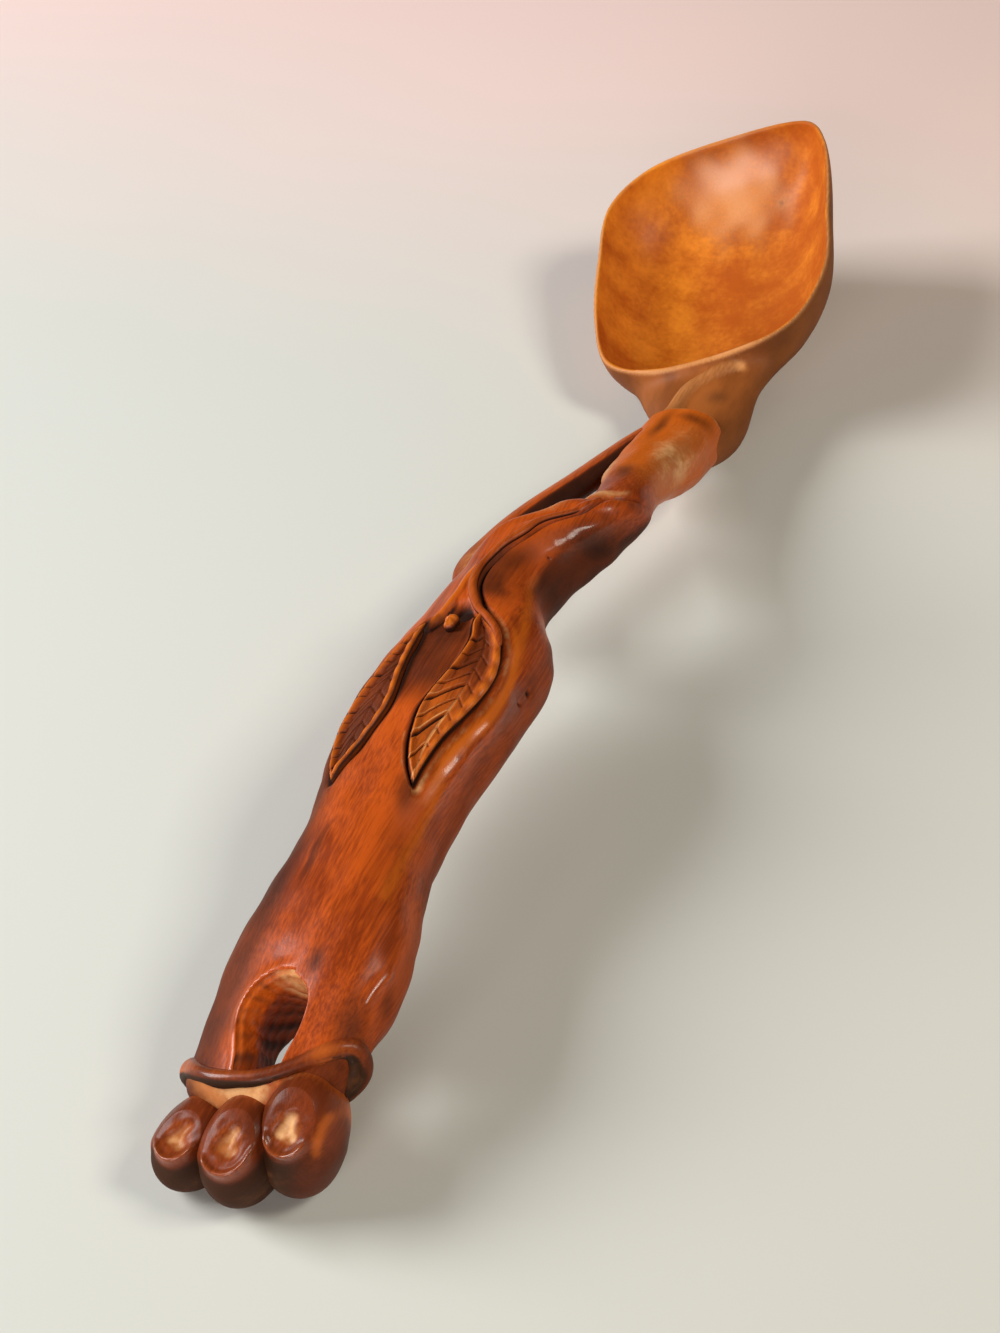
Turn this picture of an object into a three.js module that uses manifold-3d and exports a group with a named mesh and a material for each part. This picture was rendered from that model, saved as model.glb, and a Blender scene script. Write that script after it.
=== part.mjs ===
// A hand-carved wooden ladle as it lies on a table, in millimetres. The handle is a gnarled branch
// that ends in three buds. A vine with two leaves grows over it, a side strand leaves the sheath at
// its far end and comes back to the trunk, and the bowl's stem is let into that sheath.
// +X runs from the buds to the bowl, +Y is the left side and +Z is up. Z = 0 is the table, and the
// origin is the middle of the flat under the bowl.

import * as THREE from 'three';
import { mergeVertices } from 'three/addons/utils/BufferGeometryUtils.js';
import Module from 'manifold-3d';

// Driving dimensions: places along the ladle are measured from the buds' end

const CLEARANCE = 0.3;

const BOWL_LENGTH = 75;
const BOWL_WIDTH = 54;
const BOWL_DEPTH = 21;
const BOWL_WALL = 2.6;
const RIM_ROUND = 0.9;
const BOWL_ALONG = 240;
const BOWL_SIDE = 11;
const BOWL_TURN = 8;
const BOWL_PITCH = 15.5;
const BOWL_LEAN = 16.4;
const FOOT_CUT = 0.7;

const STEM_TAIL_ALONG = 172;
const STEM_TAIL_WIDTH = 7;
const STEM_TAIL_DEPTH = 6;
const STEM_MOUTH_WIDTH = 17;
const STEM_MOUTH_DEPTH = 11;
const STEM_MOUTH_SIDE = 2;
const STEM_MOUTH_DROP = 1.5;
const STEM_NECK_WIDTH = 31;
const STEM_NECK_DEPTH = 9.5;
const STEM_ROOT_WIDTH = 36;
const STEM_ROOT_DEPTH = 11;
const STEM_ROOT_DROP = 8;
const STEM_ROOT_REACH = 12;
const STEM_FADE_WIDTH = 28;
const STEM_FADE_DEPTH = 9;
const STEM_FADE_DROP = 11;
const STEM_FADE_REACH = 30;
const STEM_SIDE = 3.5;

const WRIST_WIDTH = 24;
const WRIST_DEPTH = 12;
const HEEL_WIDTH = 27.5;
const HEEL_DEPTH = 17;
const GRIP_WIDTH = 20.6;
const GRIP_DEPTH = 19;
const PALM_WIDTH = 24.2;
const PALM_DEPTH = 20.4;
const SWELL_WIDTH = 26.8;
const SWELL_DEPTH = 21.4;
const CREST_WIDTH = 25.4;
const CREST_DEPTH = 20.4;
const WAIST_WIDTH = 15.4;
const WAIST_DEPTH = 17.4;
const SHOULDER_WIDTH = 15.4;
const SHOULDER_DEPTH = 17;
const KNUCKLE_WIDTH = 11.6;
const KNUCKLE_DEPTH = 12.4;
const TRUNK_WIDTH = 10;
const TRUNK_DEPTH = 10.4;
const SHEATH_WIDTH = 15.8;
const SHEATH_DEPTH = 13.2;
const SHEATH_END_ALONG = 189;
const SHEATH_LIP = 3;
const HANDLE_BOXY = 2.4;

const SLOT_WIDTH = 9.2;
const SLOT_START = 12.8;
const SLOT_END = 25.6;
const SLOT_SIDE = -2;
const SLOT_TURN = 12;
const SLOT_LEAN = 24;

const STRAND_START = 119;
const STRAND_END = 193;
const STRAND_WIDTH = 4.6;
const STRAND_DEPTH = 7.5;
const KNOB_WIDTH = 7;
const KNOB_DEPTH = 8.5;

const LEAF_LENGTH = 34;
const LEAF_WIDTH = 7.6;
const LEAF_BASE_ALONG = 93.5;
const LEAF_RISE = 0.5;
const LEAF_SEAT = 1.3;

const VINE_WIDTH = 2.6;
const VINE_RISE = 0.9;
const VINE_SEAT = 1.1;
const BERRY_WIDTH = 2.6;
const BERRY_ALONG = 92.1;
const BERRY_SIDE = -0.7;

const BAND_ALONG = 16;
const BAND_DIP = 5.5;
const BAND_SLANT = 3;
const BAND_THICKNESS = 3;
const BAND_PROUD = 0.6;
const BAND_CURL = 5;

const BUD_LENGTH = 16;
const BUD_WIDTH = 11.5;
const BUD_RIGHT_DEPTH = 19.4;
const BUD_MIDDLE_DEPTH = 16;
const BUD_LEFT_DEPTH = 12;
const BUD_FLAT = 0.6;
const DIMPLE_WIDTH = 6;
const DIMPLE_DEPTH = 1.8;

// How finely the round forms are cut.
const HANDLE_SIDES = 26;
const HANDLE_RINGS = 38;
const BOWL_SIDES = 38;
const BOWL_RINGS = 8;

// Farther than any piece reaches, for cutters that pass right through.
const REACH = 400;

const radians = THREE.MathUtils.degToRad;

// Closed surfaces and solids

const wasm = await Module();
wasm.setup();

// A closed surface through rings of points. Each ring turns from left to up about the way ahead.
function loft(rings, firstPole, lastPole) {
  const sides = rings[0].length;
  const points = [firstPole, ...rings.flat(), lastPole];
  const last = points.length - 1;
  const faces = [];
  for (let j = 0; j < sides; j += 1) {
    const next = (j + 1) % sides;
    faces.push(0, 1 + next, 1 + j);
    for (let i = 0; i + 1 < rings.length; i += 1) {
      const here = 1 + i * sides;
      const ahead = here + sides;
      faces.push(here + j, here + next, ahead + next);
      faces.push(here + j, ahead + next, ahead + j);
    }
    const end = last - sides;
    faces.push(last, end + j, end + next);
  }
  const surface = new THREE.BufferGeometry().setFromPoints(points);
  surface.setIndex(faces);
  return surface;
}

// A closed surface through rings that come back to the first one.
function closedLoop(rings) {
  const sides = rings[0].length;
  const faces = [];
  for (let i = 0; i < rings.length; i += 1) {
    const here = i * sides;
    const ahead = ((i + 1) % rings.length) * sides;
    for (let j = 0; j < sides; j += 1) {
      const next = (j + 1) % sides;
      faces.push(here + j, ahead + j, ahead + next);
      faces.push(here + j, ahead + next, here + next);
    }
  }
  const surface = new THREE.BufferGeometry().setFromPoints(rings.flat());
  surface.setIndex(faces);
  return surface;
}

function solidOf(geometry) {
  const bare = geometry.clone();
  bare.deleteAttribute('normal');
  bare.deleteAttribute('uv');
  const welded = mergeVertices(bare, 1e-4);
  return new wasm.Manifold(new wasm.Mesh({
    numProp: 3,
    vertProperties: new Float32Array(welded.attributes.position.array),
    triVerts: new Uint32Array(welded.index.array),
  }));
}

function geometryOf(solid) {
  const mesh = solid.getMesh();
  const corners = new THREE.BufferAttribute(new Float32Array(mesh.vertProperties), 3);
  const geometry = new THREE.BufferGeometry();
  geometry.setAttribute('position', corners);
  geometry.setIndex(new THREE.BufferAttribute(new Uint32Array(mesh.triVerts), 1));
  geometry.computeVertexNormals();
  return geometry;
}

// Everything below the table's surface, to cut flats where the ladle rests.
function belowTable() {
  const block = new THREE.BoxGeometry(2 * REACH, 2 * REACH, REACH);
  return solidOf(block.translate(0, 0, -REACH / 2));
}

// Limbs: sections across X that swell, lean and wander from station to station

// A station's place across (side, up), its size (wide, deep) and its lean to the left in degrees.
// Boxy is how square the sections are: 2 is an ellipse, more is a rounded rectangle.
function limbShape(stations, boxy = 2) {
  const along = stations.map((s) => s.along);
  const values = stations.flatMap((s) => [s.side, s.up, s.wide / 2, s.deep / 2, s.lean]);
  const between = new THREE.CubicInterpolant(along, values, 5);
  return (x) => {
    const [side, up, wide, deep, lean] = between.evaluate(x);
    const tilt = radians(lean);
    return {
      centre: new THREE.Vector3(x, side, up),
      left: new THREE.Vector3(0, Math.cos(tilt), -Math.sin(tilt)),
      top: new THREE.Vector3(0, Math.sin(tilt), Math.cos(tilt)),
      wide,
      deep,
      boxy,
    };
  };
}

const signedPower = (value, power) => Math.sign(value) * Math.abs(value) ** power;

// A point of a section's edge, a turn round from the left and inset by an amount.
function edgePoint(section, turn, inset) {
  const across = signedPower(Math.cos(turn), 2 / section.boxy) * (section.wide - inset);
  const height = signedPower(Math.sin(turn), 2 / section.boxy) * (section.deep - inset);
  return section.centre.clone()
    .addScaledVector(section.left, across)
    .addScaledVector(section.top, height);
}

// A limb between two places along X, with rounded ends and grown by the same amount all round.
function limb(shape, from, to, { grow, sides, rings, roundStart, roundEnd }) {
  const start = from - grow;
  const end = to + grow;
  const easing = [0.08, 0.3, 0.6];
  const places = easing.map((t) => start + t * roundStart);
  for (let i = 0; i <= rings; i += 1) {
    places.push(THREE.MathUtils.lerp(start + roundStart, end - roundEnd, i / rings));
  }
  places.push(...easing.map((t) => end - t * roundEnd).reverse());
  const loops = places.map((x) => {
    const nearStart = Math.min(1, (x - start) / roundStart);
    const nearEnd = Math.min(1, (end - x) / roundEnd);
    const scale = Math.sqrt(1 - (1 - nearStart) ** 2) * Math.sqrt(1 - (1 - nearEnd) ** 2);
    const section = shape(THREE.MathUtils.clamp(x, from, to));
    section.centre.setX(x);
    section.wide *= scale;
    section.deep *= scale;
    const turns = Array.from({ length: sides }, (_, j) => (2 * Math.PI * j) / sides);
    return turns.map((turn) => edgePoint(section, turn, -grow * scale));
  });
  const firstPole = shape(from).centre.setX(start);
  const lastPole = shape(to).centre.setX(end);
  return solidOf(loft(loops, firstPole, lastPole));
}

// The bowl: a rim outline in a tilted plane, and rings that close towards the deepest point

// The rim as shares of the half length and half width, from the neck by the right to the tip and back.
const RIM_OUTLINE = [
  [-0.98, 0.15], [-0.88, -0.39], [-0.66, -0.85], [-0.27, -1.02], [0.24, -0.95], [0.86, -0.78],
  [1.03, -0.62], [0.96, 0.11], [0.75, 0.74], [0.46, 0.98], [0.00, 0.94], [-0.50, 0.82],
  [-0.88, 0.60],
];
const BOWL_FULLNESS = 2.4;

const rimCurve = new THREE.CatmullRomCurve3(
  RIM_OUTLINE.map(([along, across]) => new THREE.Vector3(
    (along * BOWL_LENGTH) / 2, (across * BOWL_WIDTH) / 2, 0)),
  true, 'centripetal');
const rimPoints = rimCurve.getSpacedPoints(BOWL_SIDES).slice(0, BOWL_SIDES);

// One wall of the bowl, inset from the rim outline, from its deepest point up to a height.
function bowlWall(inset, depth, top) {
  const levels = [];
  for (let i = 1; i <= BOWL_RINGS; i += 1) {
    const climb = (Math.PI / 2) * (i / BOWL_RINGS);
    const share = Math.sin(climb) ** (2 / BOWL_FULLNESS);
    const drop = depth * Math.cos(climb) ** (2 / BOWL_FULLNESS);
    levels.push({ share, height: i < BOWL_RINGS ? -drop : -RIM_ROUND });
  }
  levels.push({ share: 1, height: top });
  const keepLength = 1 - (2 * inset) / BOWL_LENGTH;
  const keepWidth = 1 - (2 * inset) / BOWL_WIDTH;
  const loops = levels.map(({ share, height }) => rimPoints.map((point) => (
    new THREE.Vector3(point.x * share * keepLength, point.y * share * keepWidth, height))));
  return loft(loops, new THREE.Vector3(0, 0, -depth), new THREE.Vector3(0, 0, top));
}

const bowlTilt = new THREE.Matrix4().makeRotationZ(radians(BOWL_TURN))
  .multiply(new THREE.Matrix4().makeRotationY(radians(-BOWL_PITCH)))
  .multiply(new THREE.Matrix4().makeRotationX(radians(-BOWL_LEAN)));

// The bowl is as high as its tilted underside needs to rest on its flat.
const tiltedBowl = bowlWall(0, BOWL_DEPTH, 0).applyMatrix4(bowlTilt);
tiltedBowl.computeBoundingBox();
const bowlUp = -tiltedBowl.boundingBox.min.z - FOOT_CUT;
const bowlMiddle = new THREE.Vector3(BOWL_ALONG, BOWL_SIDE, bowlUp);
const bowlPlace = new THREE.Matrix4().makeTranslation(bowlMiddle).multiply(bowlTilt);

// The handle: a branch that climbs from the wrist to the knuckle and drops to the sheath

const END_NARROWER = 4;
const HANDLE_START = 8;
const HANDLE_STATIONS = [
  { along: HANDLE_START, side: 2.8, up: 9.5, wide: WRIST_WIDTH - END_NARROWER, deep: WRIST_DEPTH, lean: 8 },
  { along: BAND_ALONG, side: 2.6, up: 12.4, wide: WRIST_WIDTH, deep: WRIST_DEPTH, lean: 16 },
  { along: 30, side: 2.6, up: 15.4, wide: HEEL_WIDTH, deep: HEEL_DEPTH, lean: 18 },
  { along: 53.5, side: 4.7, up: 18, wide: GRIP_WIDTH, deep: GRIP_DEPTH, lean: 16 },
  { along: 69, side: 6.2, up: 19.9, wide: PALM_WIDTH, deep: PALM_DEPTH, lean: 18 },
  { along: 83, side: 5.6, up: 21.4, wide: SWELL_WIDTH, deep: SWELL_DEPTH, lean: 20 },
  { along: 97, side: 4.8, up: 22, wide: CREST_WIDTH, deep: CREST_DEPTH, lean: 20 },
  { along: 110.5, side: 6.4, up: 23, wide: WAIST_WIDTH, deep: WAIST_DEPTH, lean: 18 },
  { along: 120.5, side: 4.9, up: 24, wide: SHOULDER_WIDTH, deep: SHOULDER_DEPTH, lean: 18 },
  { along: 128.7, side: -1.3, up: 25.6, wide: KNUCKLE_WIDTH, deep: KNUCKLE_DEPTH, lean: 16 },
  { along: 140.2, side: -4.1, up: 25, wide: TRUNK_WIDTH, deep: TRUNK_DEPTH, lean: 12 },
  { along: 156, side: -2.1, up: 19.5, wide: TRUNK_WIDTH, deep: TRUNK_DEPTH, lean: 12 },
  { along: 174, side: -1.6, up: 13.4, wide: SHEATH_WIDTH, deep: SHEATH_DEPTH, lean: 12 },
  { along: SHEATH_END_ALONG, side: -2.2, up: 11.3, wide: SHEATH_WIDTH, deep: SHEATH_DEPTH, lean: 14 },
];
const handleShape = limbShape(HANDLE_STATIONS, HANDLE_BOXY);

// A point on the handle's upper skin, a distance across from its ridge and a rise above it, with the
// direction that leads straight out of the wood there.
function skin(along, across, rise) {
  const section = handleShape(along);
  const share = THREE.MathUtils.clamp(across / section.wide, -0.97, 0.97);
  const crown = (1 - Math.abs(share) ** section.boxy) ** (1 / section.boxy);
  const outAcross = signedPower(share, section.boxy - 1) / section.wide;
  const outTop = crown ** (section.boxy - 1) / section.deep;
  const out = new THREE.Vector3()
    .addScaledVector(section.left, outAcross)
    .addScaledVector(section.top, outTop)
    .normalize();
  const point = section.centre
    .addScaledVector(section.left, share * section.wide)
    .addScaledVector(section.top, crown * section.deep)
    .addScaledVector(out, rise);
  return { point, out };
}

// The hanging slot goes through the wrist and opens to the left, with its arch towards the grip.
function slotCutter() {
  const round = SLOT_WIDTH / 2;
  const half = (SLOT_END - SLOT_START) / 2;
  const outline = new THREE.Shape();
  outline.moveTo(-half, -round);
  outline.lineTo(half - round, -round);
  outline.absarc(half - round, 0, round, -Math.PI / 2, Math.PI / 2, false);
  outline.lineTo(-half, round);
  outline.closePath();
  const through = 3 * HEEL_DEPTH;
  const section = handleShape(SLOT_START + half);
  const ahead = new THREE.Vector3(1, 0, 0);
  const place = new THREE.Matrix4().makeBasis(ahead, section.left, section.top)
    .setPosition(section.centre.addScaledVector(section.left, SLOT_SIDE));
  const bar = { depth: through, bevelEnabled: false, curveSegments: 8 };
  const cutter = new THREE.ExtrudeGeometry(outline, bar)
    .translate(0, 0, -through / 2)
    .rotateZ(radians(SLOT_TURN))
    .rotateX(radians(-SLOT_LEAN));
  return solidOf(cutter.applyMatrix4(place));
}

// The bowl's stem: a tenon under the sheath's tongue that swells into the underside of the bowl

// A place on the stem's way under the bowl: its reach from the near end and its drop below the rim.
function inBowl(reach, drop) {
  return new THREE.Vector3(reach - BOWL_LENGTH / 2, -STEM_SIDE, -drop).applyMatrix4(bowlPlace);
}

const stemNeck = inBowl(0, RIM_ROUND + STEM_NECK_DEPTH / 2);
const stemRoot = inBowl(STEM_ROOT_REACH, STEM_ROOT_DROP);
const stemFade = inBowl(STEM_FADE_REACH, STEM_FADE_DROP);
const stemTail = handleShape(STEM_TAIL_ALONG).centre;
const stemMouth = handleShape(SHEATH_END_ALONG).centre
  .add(new THREE.Vector3(0, -STEM_MOUTH_SIDE, -STEM_MOUTH_DROP));

function stemStation(centre, wide, deep) {
  return { along: centre.x, side: centre.y, up: centre.z, wide, deep, lean: BOWL_LEAN };
}

const stemShape = limbShape([
  stemStation(stemTail, STEM_TAIL_WIDTH, STEM_TAIL_DEPTH),
  stemStation(stemMouth, STEM_MOUTH_WIDTH, STEM_MOUTH_DEPTH),
  stemStation(stemNeck, STEM_NECK_WIDTH, STEM_NECK_DEPTH),
  stemStation(stemRoot, STEM_ROOT_WIDTH, STEM_ROOT_DEPTH),
  stemStation(stemFade, STEM_FADE_WIDTH, STEM_FADE_DEPTH),
]);

function stem(grow) {
  const cut = { grow, sides: 16, rings: 12, roundStart: 2, roundEnd: 4 };
  return limb(stemShape, STEM_TAIL_ALONG, stemFade.x, cut);
}

function bowlSolid() {
  const outside = solidOf(bowlWall(0, BOWL_DEPTH, 0).applyMatrix4(bowlPlace));
  const hollow = bowlWall(BOWL_WALL, BOWL_DEPTH - BOWL_WALL, REACH).applyMatrix4(bowlPlace);
  return outside.add(stem(0)).subtract(solidOf(hollow)).subtract(belowTable());
}

// The middle of the flat that a solid rests on.
function flatMiddle(solid) {
  const corners = geometryOf(solid).attributes.position;
  const flat = new THREE.Box3();
  for (let i = 0; i < corners.count; i += 1) {
    const corner = new THREE.Vector3().fromBufferAttribute(corners, i);
    if (corner.z < CLEARANCE / 10) flat.expandByPoint(corner);
  }
  return flat.getCenter(new THREE.Vector3());
}

// The side strand, from the bowl's neck over the gap to a knob in the left of the shoulder

const STRAND_LEAN = 20;
const STRAND_STATIONS = [
  { along: STRAND_START, side: 12.4, up: 18.4, wide: KNOB_WIDTH, deep: KNOB_DEPTH },
  { along: 125, side: 15.6, up: 17.6, wide: KNOB_WIDTH, deep: KNOB_DEPTH },
  { along: 133, side: 15.8, up: 17.6, wide: STRAND_WIDTH, deep: STRAND_DEPTH },
  { along: 141, side: 13.7, up: 17.8, wide: STRAND_WIDTH, deep: STRAND_DEPTH },
  { along: 157, side: 8.7, up: 17, wide: STRAND_WIDTH, deep: STRAND_DEPTH },
  { along: 174, side: 4.1, up: 15.6, wide: STRAND_WIDTH, deep: STRAND_DEPTH },
  { along: STRAND_END, side: 1.6, up: 10.4, wide: STRAND_WIDTH, deep: STRAND_DEPTH },
];
const strandShape = limbShape(STRAND_STATIONS.map((s) => ({ ...s, lean: STRAND_LEAN })));

function strand(grow) {
  const cut = { grow, sides: 12, rings: 18, roundStart: 3, roundEnd: 2 };
  return limb(strandShape, STRAND_START, STRAND_END, cut);
}

// Leaves and vine: carvings let into the skin of the handle

// A leaf's midrib runs from its base towards the buds: shares of its length, and the distance across
// from the handle's ridge.
const LEAVES = {
  leaf_right: [[0, -5.6], [0.25, -9], [0.6, -7.9], [1, -7.6]],
  leaf_left: [[0, 4.3], [0.3, 4.1], [0.65, 4.6], [1, 5.7]],
};
const LEAF_ROWS = 11;
const LEAF_COLUMNS = 6;
const LEAF_POINT = 0.06;
const COVER = 6;

// Half the leaf's width at a share of its length: a pointed oval, widest nearer the base.
function leafHalfWidth(share) {
  const oval = Math.sin(Math.PI * share ** 0.85) ** 0.8;
  return (LEAF_WIDTH / 2) * THREE.MathUtils.lerp(LEAF_POINT, 1, oval);
}

// Cover is how far the carving reaches above the skin, to cut its seat from outside.
function leaf(midrib, grow, cover) {
  const route = new THREE.CatmullRomCurve3(
    midrib.map(([share, across]) => new THREE.Vector3(share, across, 0)));
  const rings = [];
  for (let i = 0; i <= LEAF_ROWS; i += 1) {
    const share = i / LEAF_ROWS;
    const spot = route.getPoint(share);
    const along = LEAF_BASE_ALONG - spot.x * LEAF_LENGTH + grow * (1 - 2 * share);
    const half = leafHalfWidth(share) + grow;
    const upper = [];
    const lower = [];
    for (let j = 0; j <= LEAF_COLUMNS; j += 1) {
      const across = 1 - (2 * j) / LEAF_COLUMNS;
      const crown = cover + LEAF_RISE * (1 - across ** 2);
      upper.push(skin(along, spot.y + across * half, crown).point);
      lower.push(skin(along, spot.y - across * half, -LEAF_SEAT - grow).point);
    }
    rings.push([...upper, ...lower].reverse());
  }
  const middle = (ring) => ring[Math.floor(LEAF_COLUMNS / 2)].clone()
    .lerp(ring[LEAF_COLUMNS + 1 + Math.ceil(LEAF_COLUMNS / 2)], 0.5);
  return solidOf(loft(rings, middle(rings[0]), middle(rings[LEAF_ROWS])));
}

// Places along, and the distance across from the handle's ridge.
const VINE_ROUTE = [
  [96, -4], [99, -1.9], [103.5, 0], [109, 0.3], [114, -0.8], [119, -2.6], [125, -1.2], [134, -0.6],
];

function vine(grow) {
  const stations = VINE_ROUTE.map(([along, across]) => {
    const deep = VINE_SEAT + VINE_RISE;
    const { point, out } = skin(along, across, (VINE_RISE - VINE_SEAT) / 2);
    const lean = THREE.MathUtils.radToDeg(Math.atan2(out.y, out.z));
    return { along, side: point.y, up: point.z, wide: VINE_WIDTH, deep, lean };
  });
  const first = stations[0].along;
  const last = stations[stations.length - 1].along;
  const cut = { grow, sides: 8, rings: 16, roundStart: 1.5, roundEnd: 1.5 };
  return limb(limbShape(stations), first, last, cut);
}

function berry(grow) {
  const { point } = skin(BERRY_ALONG, BERRY_SIDE, 0);
  const ball = new THREE.SphereGeometry(BERRY_WIDTH / 2 + grow, 12, 8);
  return solidOf(ball.applyMatrix4(new THREE.Matrix4().makeTranslation(point)));
}

// The wrist band: a ring that dips towards the buds above and below, with a curl on the right

const BAND_TURNS = 28;
const BAND_SIDES = 8;
const CURL_TURN = 20;

function band(grow) {
  const rings = [];
  for (let i = 0; i < BAND_TURNS; i += 1) {
    const turn = (2 * Math.PI * i) / BAND_TURNS;
    const along = BAND_ALONG - BAND_SLANT * Math.cos(turn) - BAND_DIP * Math.sin(turn) ** 2;
    const section = handleShape(along);
    const curl = Math.max(0, -Math.cos(turn - radians(CURL_TURN))) ** 6;
    const half = THREE.MathUtils.lerp(BAND_THICKNESS, BAND_CURL, curl) / 2 + grow;
    const centre = edgePoint(section, turn, BAND_THICKNESS / 2 - BAND_PROUD);
    const out = new THREE.Vector3()
      .addScaledVector(section.left, Math.cos(turn))
      .addScaledVector(section.top, Math.sin(turn));
    const ring = [];
    for (let j = 0; j < BAND_SIDES; j += 1) {
      const round = (2 * Math.PI * j) / BAND_SIDES;
      ring.push(centre.clone()
        .addScaledVector(out, half * Math.cos(round))
        .add(new THREE.Vector3(half * Math.sin(round), 0, 0)));
    }
    rings.push(ring);
  }
  return solidOf(closedLoop(rings));
}

// The buds: three lobes side by side at the handle's end, each with a dimple that looks up and back

const BUDS = {
  bud_right: { along: 9.9, side: -5, spread: -8, size: 1.06, deep: BUD_RIGHT_DEPTH },
  bud_middle: { along: 5.8, side: 1.8, spread: 2, size: 1.02, deep: BUD_MIDDLE_DEPTH },
  bud_left: { along: 5.8, side: 9.3, spread: 14, size: 0.96, deep: BUD_LEFT_DEPTH },
};
const DIMPLE_FACE = new THREE.Vector3(-0.62, 0, 0.78);

function budHalf({ size, deep }) {
  return new THREE.Vector3(BUD_LENGTH * size, BUD_WIDTH * size, deep).divideScalar(2);
}

function bud(shape, grow) {
  const half = budHalf(shape);
  const lobe = new THREE.SphereGeometry(1, 16, 10)
    .scale(half.x + grow, half.y + grow, half.z + grow)
    .rotateZ(radians(-shape.spread))
    .translate(shape.along, shape.side, half.z - BUD_FLAT);
  return solidOf(lobe);
}

// A shallow ball-shaped hollow where the lobe looks up and back.
function dimple(shape) {
  const half = budHalf(shape);
  const upright = new THREE.Vector3(0, 0, 1);
  const edge = (DIMPLE_WIDTH * shape.size) / 2;
  const round = (edge ** 2 + DIMPLE_DEPTH ** 2) / (2 * DIMPLE_DEPTH);
  const reach = DIMPLE_FACE.clone().multiply(half)
    .addScaledVector(DIMPLE_FACE, round - DIMPLE_DEPTH)
    .applyAxisAngle(upright, radians(-shape.spread));
  const ball = new THREE.SphereGeometry(round, 14, 8)
    .translate(shape.along + reach.x, shape.side + reach.y, half.z - BUD_FLAT + reach.z);
  return solidOf(ball);
}

// Assembly: each carving is let into what carries it, with the same gap all round

const table = belowTable();
const solids = {};
solids.bowl = bowlSolid();
solids.side_strand = strand(0).subtract(stem(CLEARANCE));
solids.vine_stem = vine(0);
for (const [name, midrib] of Object.entries(LEAVES)) {
  solids[name] = leaf(midrib, 0, 0).subtract(vine(CLEARANCE));
}
solids.vine_bud = berry(0).subtract(leaf(LEAVES.leaf_left, CLEARANCE, COVER));
solids.wrist_band = band(0);

let earlier = band(CLEARANCE);
for (const [name, shape] of Object.entries(BUDS)) {
  solids[name] = bud(shape, 0).subtract(earlier).subtract(dimple(shape)).subtract(table);
  earlier = earlier.add(bud(shape, CLEARANCE));
}

let handle = limb(handleShape, HANDLE_START, SHEATH_END_ALONG, {
  grow: 0, sides: HANDLE_SIDES, rings: HANDLE_RINGS, roundStart: SHEATH_LIP, roundEnd: SHEATH_LIP,
});
handle = handle.subtract(slotCutter()).subtract(stem(CLEARANCE)).subtract(strand(CLEARANCE));
handle = handle.subtract(vine(CLEARANCE)).subtract(berry(CLEARANCE)).subtract(earlier);
for (const midrib of Object.values(LEAVES)) {
  handle = handle.subtract(leaf(midrib, CLEARANCE, COVER));
}
solids.handle = handle;

const FINISH = {
  bowl: { color: 0xc8771f, roughness: 0.38 },
  handle: { color: 0x8a4219, roughness: 0.34 },
  side_strand: { color: 0x8f4b1e, roughness: 0.4 },
  vine_stem: { color: 0xc06a25, roughness: 0.4 },
  leaf_right: { color: 0xb5541a, roughness: 0.4 },
  leaf_left: { color: 0xa04a1c, roughness: 0.4 },
  vine_bud: { color: 0xc4701f, roughness: 0.4 },
  wrist_band: { color: 0x7a3216, roughness: 0.32 },
  bud_left: { color: 0x7d3a16, roughness: 0.33 },
  bud_middle: { color: 0x7d3a16, roughness: 0.33 },
  bud_right: { color: 0x84401a, roughness: 0.33 },
};

const ladle = new THREE.Group();
ladle.position.copy(flatMiddle(solids.bowl)).setZ(0).negate();
for (const [name, solid] of Object.entries(solids)) {
  const material = new THREE.MeshStandardMaterial({ ...FINISH[name], metalness: 0 });
  const mesh = new THREE.Mesh(geometryOf(solid), material);
  mesh.name = name;
  ladle.add(mesh);
}

export default ladle;
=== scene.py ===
# %% [markdown]
# # A carved wooden ladle
# The ladle was cut from one gnarled branch: a leaf-shaped bowl, a bent handle with a vine and two
# leaves carved into its skin, a free side strand beside a gap, and three buds at a hanging slot.
# Each carved member is a piece of its own. All of them ride on the one body of the CAD model.

import math

import bpy
import numpy as np
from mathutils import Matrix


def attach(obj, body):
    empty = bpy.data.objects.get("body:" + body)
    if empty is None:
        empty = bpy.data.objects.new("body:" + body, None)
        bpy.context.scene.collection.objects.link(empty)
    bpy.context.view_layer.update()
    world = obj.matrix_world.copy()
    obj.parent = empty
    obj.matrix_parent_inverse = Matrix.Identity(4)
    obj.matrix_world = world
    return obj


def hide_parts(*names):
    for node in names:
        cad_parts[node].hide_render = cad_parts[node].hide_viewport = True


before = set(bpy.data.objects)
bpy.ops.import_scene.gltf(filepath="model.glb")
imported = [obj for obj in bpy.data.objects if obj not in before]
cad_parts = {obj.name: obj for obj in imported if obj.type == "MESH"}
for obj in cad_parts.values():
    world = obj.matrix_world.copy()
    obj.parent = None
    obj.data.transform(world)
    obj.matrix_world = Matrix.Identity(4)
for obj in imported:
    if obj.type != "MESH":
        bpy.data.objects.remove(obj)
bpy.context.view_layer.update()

# %% [markdown]
# ## Rulers
# A carver measures in millimetres from the end of the buds. The shared frame is in metres and starts
# in the middle of the flat under the bowl, so one helper moves every finished shape over.

# %% Millimetres on the ladle, metres in the frame
MM = 0.001
FOOT = np.array([225.417, 13.510, 0.0])


def to_frame(points):
    """Points in millimetres on the ladle, as metres in the shared frame."""
    return (np.asarray(points, float) - FOOT) * MM


def soft_step(value, low, high):
    """0 below low, 1 above high, and a smooth rise between them."""
    share = np.clip((value - low) / (high - low), 0.0, 1.0)
    return share * share * (3.0 - 2.0 * share)


def hump(distance, width):
    """1 on a line and nearly 0 two widths away from it."""
    return np.exp(-(distance / width) ** 2)


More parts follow.
